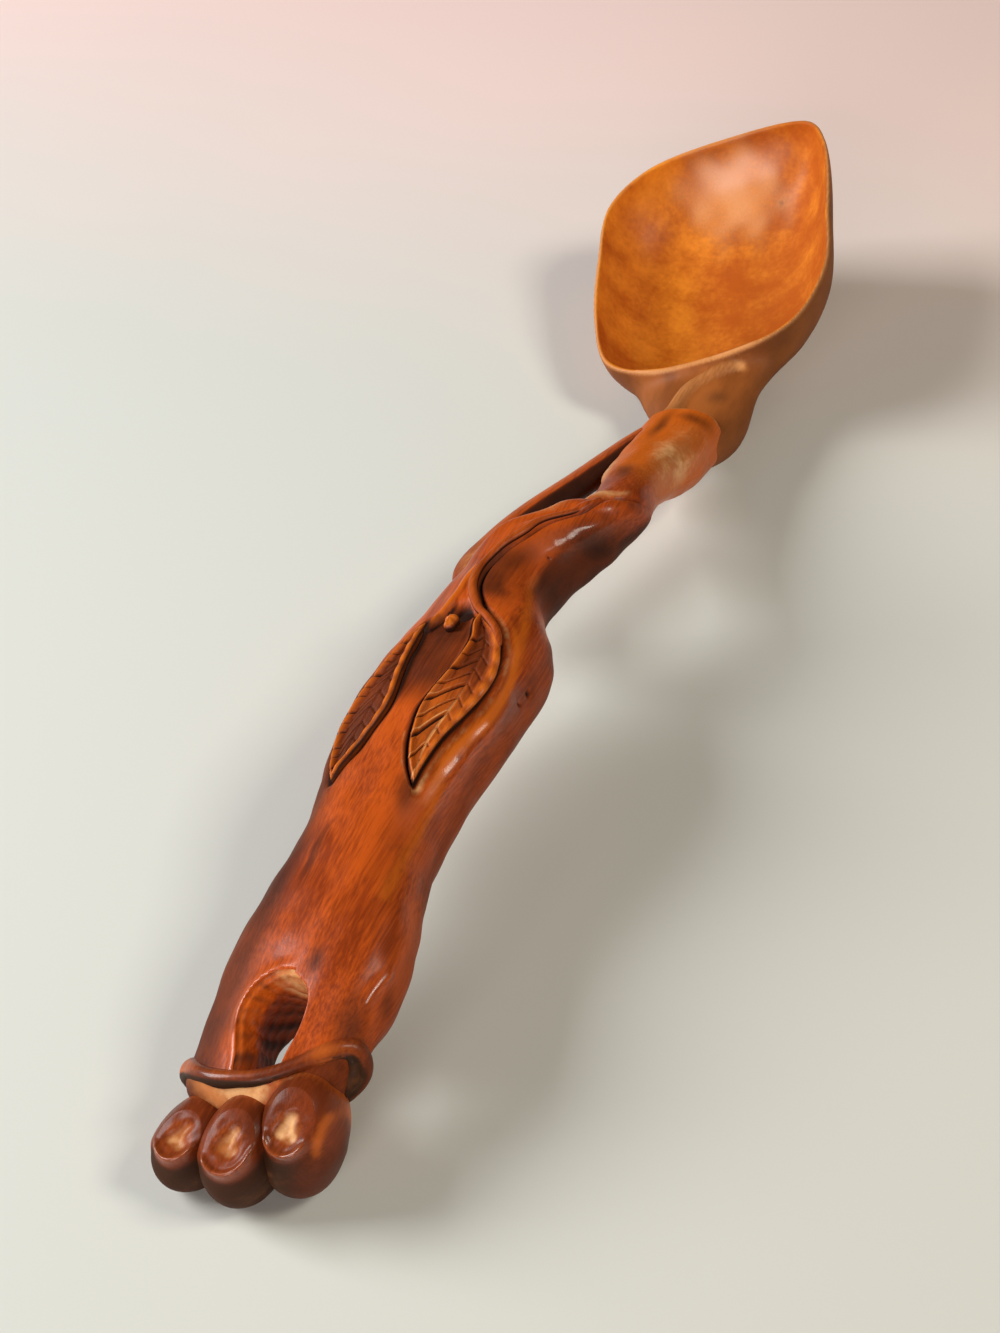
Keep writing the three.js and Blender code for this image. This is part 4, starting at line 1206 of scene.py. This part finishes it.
strand_left = np.cross(strand_out, unit(ahead))
leftness = ((points - strand_path[nearest]) * strand_left[nearest]).sum(axis=1)
wider = (wide / STRAND_WIDTH / (deep / STRAND_DEPTH))[nearest]
points = points + strand_left[nearest] * (leftness * (wider - 1))[:, None]
knob = soft_step(-points[:, 0], -132, -126)
strand_masks = {
    "wear": 0.7 * hump(height - 2.6, 1.0) * soft_step(leftness, -0.5, 1.0) * (1 - knob),
    # The right face, which looks into the gap, and the lower edge are darkened as painted shade; the whole
    # strand is a little darker too, and more at the knob.
    "groove": np.maximum.reduce([0.85 * soft_step(-leftness, 0.3, 1.4),
                                 0.45 * soft_step(-height, -2.4, -1.2), 0.25 + 0.2 * knob]),
    "raw": 0.5 * knob * soft_step(height, 0.8, 2.6),
}
finish_piece("side_strand", points, faces, "handle_wood", strand_masks)

# %% [markdown]
# ## The wrist band
# A rope-like ring is carved round the wrist, below the slot. It starts as a thick knob on the left,
# dips towards the buds above and below, and swells on the right into a thick curl. It is a closed
# path, so its sweep has no ends.

# %% Sweep the wrist band
BAND_THICK = 3.0
BAND_PROUD = 0.8
BAND_STEPS = 220
BAND_SIDES = 28

turn = np.linspace(0, 2 * math.pi, BAND_STEPS, endpoint=False)
knob = hump((turn - 0.14 + math.pi) % (2 * math.pi) - math.pi, 0.45)
curl = np.clip(-np.cos(turn - math.radians(20)), 0, 1) ** 6
band_swell = 0.8 + 0.5 * knob + 0.9 * curl + 0.05 * np.sin(5 * turn + 1) + 0.03 * np.sin(11 * turn)
band_along = BAND_ALONG - BAND_SLANT * np.cos(turn) - BAND_DIP * np.sin(turn) ** 2
side, up, wide, deep, lean = handle_at(band_along).T
lean = np.radians(lean)
across, height = section_edge(wide, deep, HANDLE_BOXY, turn)
sink = BAND_THICK / 2 * np.minimum(band_swell, 1.0) - BAND_PROUD
across = across - sink * np.cos(turn)
height = height - sink * np.sin(turn)
band_path = np.column_stack([band_along, side + across * np.cos(lean) + height * np.sin(lean),
                             up - across * np.sin(lean) + height * np.cos(lean)])
band_out = np.column_stack([np.zeros(BAND_STEPS), np.cos(turn) * np.cos(lean) + np.sin(turn) * np.sin(lean),
                            -np.cos(turn) * np.sin(lean) + np.sin(turn) * np.cos(lean)])
band_oval = (BAND_THICK, BAND_THICK, BAND_SIDES)
points, faces = swept_member("wrist_band", band_path, band_out, band_swell, band_oval, "bud_wood", True)
nearest, height = beside_path(points, band_path, band_out)
below = band_path[nearest][:, 0] - points[:, 0]
curled = curl[nearest]
fold = hump(below - 0.4 - 0.5 * height, 0.5) * curled
points = points - band_out[nearest] * (0.7 * fold)[:, None]
right_end = hump(turn[nearest] - math.radians(142), 0.22)
band_masks = {
    "wear": 0.45 * soft_step(height, 0.7, 1.3) * (1 - 0.7 * curled) + 0.6 * right_end + 0.3 * knob[nearest],
    # The band is darker on its side towards the buds and where it meets the wrist, as painted shade, and
    # darker in its curl and fold.
    "groove": np.maximum.reduce([soft_step(below, 0.7, 1.2), 0.5 * curled, fold,
                                 0.7 * soft_step(-height, -0.5, 0.2)]),
    "raw": 0.3 * curled * soft_step(below, 0.3, 1.5),
    "oil": 0.35 * hump(height - 1.1, 0.35) * (1 - curled),
}
finish_piece("wrist_band", points, faces, "bud_wood", band_masks)

# %% [markdown]
# ## The berry
# A small berry, longer than wide, sits beside the dark pit where the vine forks.

# %% Shape the berry
BERRY_ALONG = 92.9
BERRY_ACROSS = -0.4
BERRY_HALF = np.array([1.9, 1.1, 1.2])
BERRY_SINK = 0.35
BERRY_GRID = (24, 40)


def ball_grid(rings, turns):
    """Directions over a ball, with one point at each pole."""
    climb = np.linspace(-math.pi / 2, math.pi / 2, rings + 2)[1:-1, None]
    turn = np.linspace(0, 2 * math.pi, turns, endpoint=False)
    grid = np.stack([np.cos(climb) * np.cos(turn), np.cos(climb) * np.sin(turn),
                     np.broadcast_to(np.sin(climb), (rings, turns))], axis=-1)
    return np.concatenate([grid.reshape(-1, 3), [[0, 0, -1], [0, 0, 1]]])


berry_spot = on_skin([(BERRY_ALONG, BERRY_ACROSS), (BERRY_ALONG + 0.1, BERRY_ACROSS)])[0]
berry_centre = skin_point(berry_spot[0], berry_spot[1])
berry_out = skin_out(berry_spot[0], berry_spot[1])
berry_ahead = unit(np.cross([0.0, 1.0, 0.0], berry_out))
berry_frame = np.array([berry_ahead, np.cross(berry_out, berry_ahead), berry_out])
ball = ball_grid(*BERRY_GRID)
ripple = 1 + 0.05 * np.sin(5 * np.arctan2(ball[:, 1], ball[:, 0])) + 0.06 * np.sin(7 * ball[:, 0])
berry_points = berry_centre - BERRY_SINK * berry_out + (ball * ripple[:, None] * BERRY_HALF) @ berry_frame
berry_masks = {"wear": soft_step(ball[:, 2], 0.1, 0.7), "groove": 0.9 * soft_step(-ball[:, 2], -0.4, 0.1)}
finish_piece("vine_bud", berry_points, capped_faces(*BERRY_GRID), "carved_wood", berry_masks)

# %% [markdown]
# ## The buds
# Three plump buds close the handle. Each has a dished face that looks up and back, worn down to pale
# gold wood in its hollow. Below the face a glossy ridge hangs over the underside like an eyelid; the
# underside and the wood near the floor are darkened as painted shade. A ball of points is stretched to
# the bud and pressed in or raised, which keeps it one smooth skin.

# %% A turn about an axis


def turn_about(axis, degrees):
    """A turn about one axis, as a matrix."""
    c = math.cos(math.radians(degrees))
    s = math.sin(math.radians(degrees))
    a = (axis + 1) % 3
    b = (axis + 2) % 3
    matrix = np.eye(3)
    matrix[a, a] = c
    matrix[a, b] = -s
    matrix[b, a] = s
    matrix[b, b] = c
    return matrix


# %% Shape the buds
BUD_GRID = (150, 200)
BUD_LENGTH = 16.0
BUD_WIDTH = 11.5
BUD_FLAT = 0.6
BUD_NECK = 0.16
BUD_FACE = 0.8
BUD_CUT = 0.75
BUDS = {
    "bud_right": {"along": 9.9, "side": -5.0, "spread": -8.0, "size": 1.06, "deep": 19.4,
                  "face": (-0.62, 0.12, 0.78), "slant": 8.0, "flank": 1.0, "lid": 1.08},
    "bud_middle": {"along": 5.8, "side": 1.8, "spread": 2.0, "size": 1.02, "deep": 16.0,
                   "face": (-0.52, 0.05, 0.85), "slant": 32.0, "flank": 0.0, "lid": 1.26},
    "bud_left": {"along": 5.8, "side": 9.3, "spread": 14.0, "size": 0.96, "deep": 12.0,
                 "face": (-0.45, 0.05, 0.88), "slant": 32.0, "flank": 0.0, "lid": 1.04},
}


def bud_relief(ball, shape, half, facts):
    """How far a bud's skin is raised along its face's direction, that direction, and the masks."""
    face = unit(np.array(facts["face"]))
    hill = unit(np.array([0, 0, 1]) - face * face[2])
    rightward = np.cross(hill, face)
    offset = shape - face * half
    climb = offset @ hill
    beside = offset @ rightward
    slant = math.radians(facts["slant"])
    gap = np.hypot(climb / 3.5, beside / 2.9)
    facing = soft_step(ball @ face, -0.1, 0.3)
    below = soft_step(beside * math.sin(slant) - climb * math.cos(slant), 0.2, 2.2)
    below = below * soft_step(ball @ face, -0.6, -0.2)
    ragged = gap + 0.09 * np.sin(1.9 * climb + 0.7) + 0.07 * np.sin(2.7 * beside - 1.1 * climb)
    hollow = hump(ragged, 0.55) * facing
    lid = gap - facts["lid"]
    ridge = hump(lid, 0.17) * below
    under = soft_step(lid, 0.04, 0.3) * below * (1 - soft_step(lid, 0.9, 2.1))
    streak = hump(beside - 4.3, 0.6) * soft_step(climb, -3.5, -1.5) * (1 - soft_step(climb, 3, 5))
    flank = soft_step(beside, 5.0, 6.2) * facts["flank"]
    plain = 1 - 0.6 * soft_step(beside, 0.5, 5.0) * facts["flank"]
    masks = {
        "wear": 0.4 * ridge + 0.4 * (1 - soft_step(gap, 0.5, 1.1)) * facing + 0.9 * streak * facts["flank"],
        "raw": 0.9 * (1 - soft_step(ragged, 0.0, 0.85)) * facing
        + 0.22 * soft_step(lid, 0.3, 0.9) * below * plain,
        # The underside below the lid is darkened as painted shade; the right bud's right flank is darker too.
        "groove": np.maximum(0.82 * soft_step(lid, 0.06, 0.4) * below * plain, 0.4 * flank),
        "oil": ridge,
    }
    return 0.75 * ridge - 1.1 * hollow - 0.8 * under, face, masks


def bud_piece(name, facts):
    """One bud: a stretched ball with a dished face, flat where it rests."""
    half = np.array([BUD_LENGTH * facts["size"], BUD_WIDTH * facts["size"], facts["deep"]]) / 2
    ball = ball_grid(*BUD_GRID)
    shape = ball * half
    rise, face, masks = bud_relief(ball, shape, half, facts)
    level = shape @ face
    reach = np.linalg.norm(half * face)
    shape = shape - face * (BUD_CUT * np.maximum(level - BUD_FACE * reach, 0))[:, None]
    lumps = np.sin(5 * ball[:, :1] + 3 * ball[:, 1:2]) + np.sin(7 * ball[:, 2:] - 4 * ball[:, 1:2])
    shape = shape * (0.975 - 0.012 * lumps) + face * rise[:, None]
    shape[:, 0] = shape[:, 0] + BUD_NECK * np.maximum(shape[:, 0], 0)
    shape = shape @ turn_about(2, -facts["spread"]).T
    points = shape + np.array([facts["along"], facts["side"], half[2] - BUD_FLAT])
    points[:, 2] = np.maximum(points[:, 2], 0)
    band_gap = np.linalg.norm(points[:, None] - band_path[None, ::4], axis=2).min(axis=1)
    masks["raw"] = np.maximum(masks["raw"], 0.35 * (1 - soft_step(band_gap, 1.6, 3.0)))
    masks["wear"] = masks["wear"] + 0.6 * soft_step(points[:, 0] - facts["along"], 0.5, 5.0)
    # The wood near the floor is darkened as painted shade.
    masks["groove"] = np.maximum(masks["groove"], 0.6 * soft_step(-points[:, 2], -4.0, -1.0))
    return finish_piece(name, points, capped_faces(*BUD_GRID), "bud_wood", masks)


for name, facts in BUDS.items():
    bud_piece(name, facts)

# %% [markdown]
# ## The bowl
# The bowl is a deep leaf-shaped shell that grows out of its stem with no joint to be seen. Two solids
# that melt into each other are hard to join face by face. So the bowl is written as a field: a number
# for every place in a block of air, below zero inside the wood. Where it is zero is the skin, and a
# net of small faces is drawn over it. The soft joint is then one smooth minimum.

# %% The bowl's measures
BOWL_LENGTH = 74.5
BOWL_WIDTH = 53.8
BOWL_DEPTH = 21.0
BOWL_WALL = 2.6
RIM_WALL = 1.25
BOWL_FULL = 2.4
BOWL_SPOT = (240.0, 11.0)
BOWL_HEADING = 8.0
BOWL_PITCH = -15.5
BOWL_LEAN = 16.4
FOOT_CUT = 0.7
RIM_OUTLINE = [(-0.98, 0.15), (-0.88, -0.39), (-0.66, -0.85), (-0.27, -1.02), (0.24, -0.95), (0.86, -0.78),
               (1.03, -0.62), (0.96, 0.11), (0.75, 0.74), (0.46, 0.98), (0, 0.94), (-0.5, 0.82), (-0.88, 0.6)]
bowl_turn = turn_about(2, BOWL_HEADING) @ turn_about(1, BOWL_PITCH) @ turn_about(0, -BOWL_LEAN)
rim_line = smooth_line(RIM_OUTLINE, True, 40) * (BOWL_LENGTH / 2, BOWL_WIDTH / 2)
climb = np.linspace(0, math.pi / 2, 60)[:, None, None]
wall_out = rim_line * np.sin(climb) ** (2 / BOWL_FULL)
wall_low = -BOWL_DEPTH * np.cos(climb) ** (2 / BOWL_FULL) * np.ones((len(rim_line), 1))
wall = np.concatenate([wall_out, wall_low], axis=-1)
bowl_up = -(wall @ bowl_turn.T)[..., 2].min() - FOOT_CUT
bowl_middle = np.array([*BOWL_SPOT, bowl_up])

# %% The bowl as a field
FIELD_STEP = 0.45
FIELD_LOW = np.array([-70.0, -30.0, -23.5])
FIELD_HIGH = np.array([41.0, 30.0, 15.0])
RIDGE_ROUTE = [(186, 2.4, 14.6), (191, 2.0, 13.9), (196, 2.0, 13.6), (200, 1.2, 14.0), (204, -1.4, 14.6),
               (207.5, -4.2, 15.2)]
RIDGE_THICK = 1.5
# The stem's ends along the ladle, its places under the bowl (reach and drop), widths and depths.
STEM_TAIL = 172.0
STEM_MOUTH = 189.0
STEM_SIDE = -3.5
STEM_UNDER = [(0, 5.65), (12, 8), (30, 11)]
STEM_SIZES = [(7, 6), (16.5, 11), (27, 9.5), (33, 11), (28, 9)]
# How softly the stem, the ridge, the rim and the inside run into the rest, in millimetres.
STEM_SOFT = 4.0
RIDGE_SOFT = 1.6
RIM_SOFT = 1.3
INSIDE_SOFT = 0.9


def rim_reach(across, ahead):
    """How far the rim lies from the bowl's middle in a direction."""
    turns = np.arctan2(rim_line[:, 1], rim_line[:, 0])
    order = np.argsort(turns)
    reach = np.hypot(*rim_line[order].T)
    return np.interp(np.arctan2(across, ahead), turns[order], reach, period=2 * math.pi)


def inner_reach(far, drop):
    """How far the inner wall lies from the bowl's middle, where the rim lies so far."""
    return far - RIM_WALL - (BOWL_WALL - RIM_WALL) * soft_step(drop, 0.5, 9.0)


def bowl_level(flat, far, drop, deep):
    """A level that is 1 on a wall of the bowl and less inside it."""
    return ((flat / far) ** BOWL_FULL + (drop / deep) ** BOWL_FULL) ** (1 / BOWL_FULL)


def even_out(level):
    """A level that is 1 on a surface, as a distance from it in millimetres."""
    slope = np.sqrt(sum(part ** 2 for part in np.gradient(level, FIELD_STEP)))
    return (level - 1) / np.maximum(slope, 0.02)


def melt(first, second, width):
    """The union of two fields with a soft joint."""
    share = np.clip(0.5 + 0.5 * (second - first) / width, 0, 1)
    return second * (1 - share) + first * share - width * share * (1 - share)


def stem_field(places):
    """The stem: an oval limb from the sheath into the underside of the bowl."""
    tail = np.append(STEM_TAIL, handle_at(STEM_TAIL)[0][:2])
    mouth = np.append(STEM_MOUTH, handle_at(STEM_MOUTH)[0][:2]) + (0, -2.0, -1.5)
    neck, root, fade = (bowl_turn @ np.array([reach - BOWL_LENGTH / 2, STEM_SIDE, -drop]) + bowl_middle
                        for reach, drop in STEM_UNDER)
    places_on = (tail, mouth, neck, root, fade)
    stem_at = course([(*place, *size) for place, size in zip(places_on, STEM_SIZES)])
    ruler = np.linspace(tail[0], fade[0], 600)
    side, up, wide, deep = (np.interp(places[..., 0], ruler, column) for column in stem_at(ruler).T)
    lean = math.radians(BOWL_LEAN)
    across = (places[..., 1] - side) * math.cos(lean) - (places[..., 2] - up) * math.sin(lean)
    height = (places[..., 1] - side) * math.sin(lean) + (places[..., 2] - up) * math.cos(lean)
    level = np.hypot(2 * across / wide, 2 * height / deep)
    ends = np.maximum(tail[0] - places[..., 0], places[..., 0] - fade[0])
    return np.maximum(even_out(level), ends)


def ridge_field(places):
    """A low ridge over the neck, where the side strand runs out towards the rim."""
    line = smooth_line(RIDGE_ROUTE, False, 5)
    near = np.full(places.shape[:-1], 20.0)
    close = ((places > line.min(axis=0) - 6) & (places < line.max(axis=0) + 6)).all(axis=-1)
    spots = places[close]
    for start, end in zip(line[:-1], line[1:]):
        step = end - start
        share = np.clip((spots - start) @ step / (step @ step), 0, 1)[:, None]
        near[close] = np.minimum(near[close], np.linalg.norm(spots - start - share * step, axis=1))
    return near - RIDGE_THICK


axes = [np.arange(low, high, FIELD_STEP) for low, high in zip(FIELD_LOW, FIELD_HIGH)]
block = np.stack(np.meshgrid(*axes, indexing="ij"), axis=-1)
flat_reach = np.hypot(block[..., 0], block[..., 1])
rim_far = rim_reach(block[..., 1], block[..., 0])
drop = np.maximum(-block[..., 2], 0)
outer = even_out(bowl_level(flat_reach, rim_far, drop, BOWL_DEPTH))
outer = -melt(-outer, -block[..., 2], RIM_SOFT)
inner = even_out(bowl_level(flat_reach, inner_reach(rim_far, drop), drop, BOWL_DEPTH - BOWL_WALL))
ladle_block = block @ bowl_turn.T + bowl_middle
solid = melt(outer, stem_field(ladle_block), STEM_SOFT)
solid = melt(solid, ridge_field(ladle_block), RIDGE_SOFT)
solid = -melt(-solid, inner, INSIDE_SOFT)
solid = np.maximum(solid, -ladle_block[..., 2])
print("field of", solid.shape, "places,", int((solid < 0).sum()), "of them in the wood")

# %% Draw a net over the field


def net_over(field, low, step):
    """The skin of a field: one point in each cell that it crosses, one face over each crossed edge."""
    cells = tuple(np.array(field.shape) - 1)
    total = np.zeros(cells + (3,))
    count = np.zeros(cells)
    crossings = []
    for axis in range(3):
        first = np.delete(field, -1, axis)
        second = np.delete(field, 0, axis)
        crossed = (first < 0) != (second < 0)
        share = np.where(crossed, first / np.where(crossed, first - second, 1), 0)
        a, b = (axis + 1) % 3, (axis + 2) % 3
        for shift_a in (0, 1):
            for shift_b in (0, 1):
                window = [slice(None)] * 3
                window[a] = slice(shift_a, shift_a + cells[a])
                window[b] = slice(shift_b, shift_b + cells[b])
                hit = crossed[tuple(window)]
                count += hit
                total[..., axis] += np.where(hit, share[tuple(window)], 0)
                total[..., a] += hit * shift_a
                total[..., b] += hit * shift_b
        crossings.append((crossed, first < 0, a, b))
    mixed = count > 0
    index = np.full(cells, -1)
    index[mixed] = np.arange(mixed.sum())
    points = low + step * (np.argwhere(mixed) + total[mixed] / count[mixed][:, None])
    faces = []
    for crossed, inside, a, b in crossings:
        spots = np.argwhere(crossed)
        pair = spots[:, [a, b]]
        spots = spots[((pair > 0) & (pair < (cells[a], cells[b]))).all(axis=1)]
        ring = []
        for back_a, back_b in ((1, 1), (0, 1), (0, 0), (1, 0)):
            cell = spots.copy()
            cell[:, a] -= back_a
            cell[:, b] -= back_b
            ring.append(index[tuple(cell.T)])
        ring = np.stack(ring, axis=1)
        keep = inside[tuple(spots.T)]
        faces.append(np.where(keep[:, None], ring, ring[:, ::-1]))
    return points, np.concatenate(faces)


def relax(points, faces, rounds):
    """Even out the net: pull each point to the middle of its neighbours, then push it half back."""
    ends = np.concatenate([faces[:, [k, (k + 1) % 4]] for k in range(4)])
    ends = np.concatenate([ends, ends[:, ::-1]])
    degree = np.bincount(ends[:, 0], minlength=len(points))[:, None]
    for pull in (0.5, -0.52) * rounds:
        sums = [np.bincount(ends[:, 0], points[ends[:, 1], k], len(points)) for k in range(3)]
        points = points + pull * (np.column_stack(sums) / degree - points)
    return points


net_points, net_faces = net_over(solid, FIELD_LOW, FIELD_STEP)
net_points = relax(net_points, net_faces, 4)
print("net of", len(net_points), "points and", len(net_faces), "faces")

# %% [markdown]
# The inside of the bowl is polished to a clear honey colour, with a blotchy gloss at its far end.
# Under the gloss the wood is paler, partly worn wood and partly a painted highlight, and the right side
# and the near left corner of the inside carry painted shade. The outside and the neck keep the brown of
# the branch, with painted shade near the floor and a painted highlight on the neck, and the thin rim is
# rubbed lighter. How far a point lies from the inner wall says which of them it belongs to.

# %% Colour and place the bowl
# Spots on the bowl: along, side, up and how wide each is.
POLISHED_SPOT = (272.6, 13.7, 24.0, 9.5)
# Pale worn wood and a painted highlight at the far end of the inside.
PALE_WOOD_AND_HIGHLIGHT_SPOT = (270.5, 14.0, 21.5, 16.5)
# Painted shade in the near left corner of the inside.
SHADED_CORNER_SPOT = (217.0, 23.5, 9.0, 8.0)
NECK_DARK_SPOT = (197.0, -5.0, 15.0, 3.2)
# A painted highlight on the neck.
NECK_HIGHLIGHT_SPOT = (208.5, -6.5, 16.3, 1.5)
BOWL_SPECKS = [(270.5, 20.8, 31.1, 0.7), (212.3, 20.3, 7.5, 0.6), (270.6, 2.9, 21.3, 1.0),
               (247.0, 36.0, 19.0, 0.8)]

flat = np.hypot(net_points[:, 0], net_points[:, 1])
far = rim_reach(net_points[:, 1], net_points[:, 0])
low = np.maximum(-net_points[:, 2], 0)
inside = bowl_level(flat, inner_reach(far, low), low, BOWL_DEPTH - BOWL_WALL)
well = 1 - soft_step(inside, 1.0, 1.035)
rim = hump(net_points[:, 2], 0.9) * soft_step(flat / far, 0.9, 0.97) * (1 - soft_step(flat / far, 1.0, 1.03))
ladle_points = net_points @ bowl_turn.T + bowl_middle
ladle_points[:, 2] = np.maximum(ladle_points[:, 2], 0)
ahead, side, up = ladle_points.T


def near_spot(place, ragged=0.0):
    """1 in the middle of a spot on the bowl, fading outward; a ragged distance gives it blotches."""
    return hump(np.linalg.norm(ladle_points - place[:3], axis=1) + ragged, place[3])


blotchy = np.sin(0.9 * side + 0.35 * ahead) * np.sin(0.45 * ahead + 1) + np.sin(0.5 * side - 0.7 * up)
polished = near_spot(POLISHED_SPOT, blotchy) * well
# Paler wood under the gloss, partly a painted highlight.
pale_wood_and_highlight = near_spot(PALE_WOOD_AND_HIGHLIGHT_SPOT, 1.5 * blotchy) * well
specks = sum(near_spot(place) for place in BOWL_SPECKS)
rightward = 0.37 * (ahead - BOWL_SPOT[0]) - 0.93 * (side - BOWL_SPOT[1])
# Painted shade on the right side of the inside and in its near left corner.
painted_shade = np.maximum(0.9 * soft_step(rightward, -9, 4) * well * (1 - pale_wood_and_highlight), near_spot(SHADED_CORNER_SPOT) * well)
neck_left = soft_step(-ahead, -216, -206) * soft_step(side, 3, 8)
strand_end = hump(ridge_field(ladle_points) + 0.3, 1.0)
# The outside is painted darker near the floor, as painted shade, and is also darker on its right side and on
# the neck's left.
dirt = np.maximum.reduce([0.5 * soft_step(-up, -8, -1), 0.5 * near_spot(NECK_DARK_SPOT),
                          0.55 * soft_step(-side, 4, 14), 0.3 * neck_left])
bowl_masks = {
    # The worn mask here carries the painted highlights as well as the rubbed rim and ridge.
    "wear": 0.8 * rim + 0.8 * near_spot(NECK_HIGHLIGHT_SPOT) + 0.5 * strand_end + 0.9 * pale_wood_and_highlight,
    "raw": well * (1 - 0.5 * specks) * (1 - 0.7 * pale_wood_and_highlight),
    "oil": polished,
    "groove": np.maximum.reduce([dirt * (1 - well), 0.6 * specks, painted_shade]),
}
finish_piece("bowl", ladle_points, net_faces, "bowl_wood", bowl_masks)
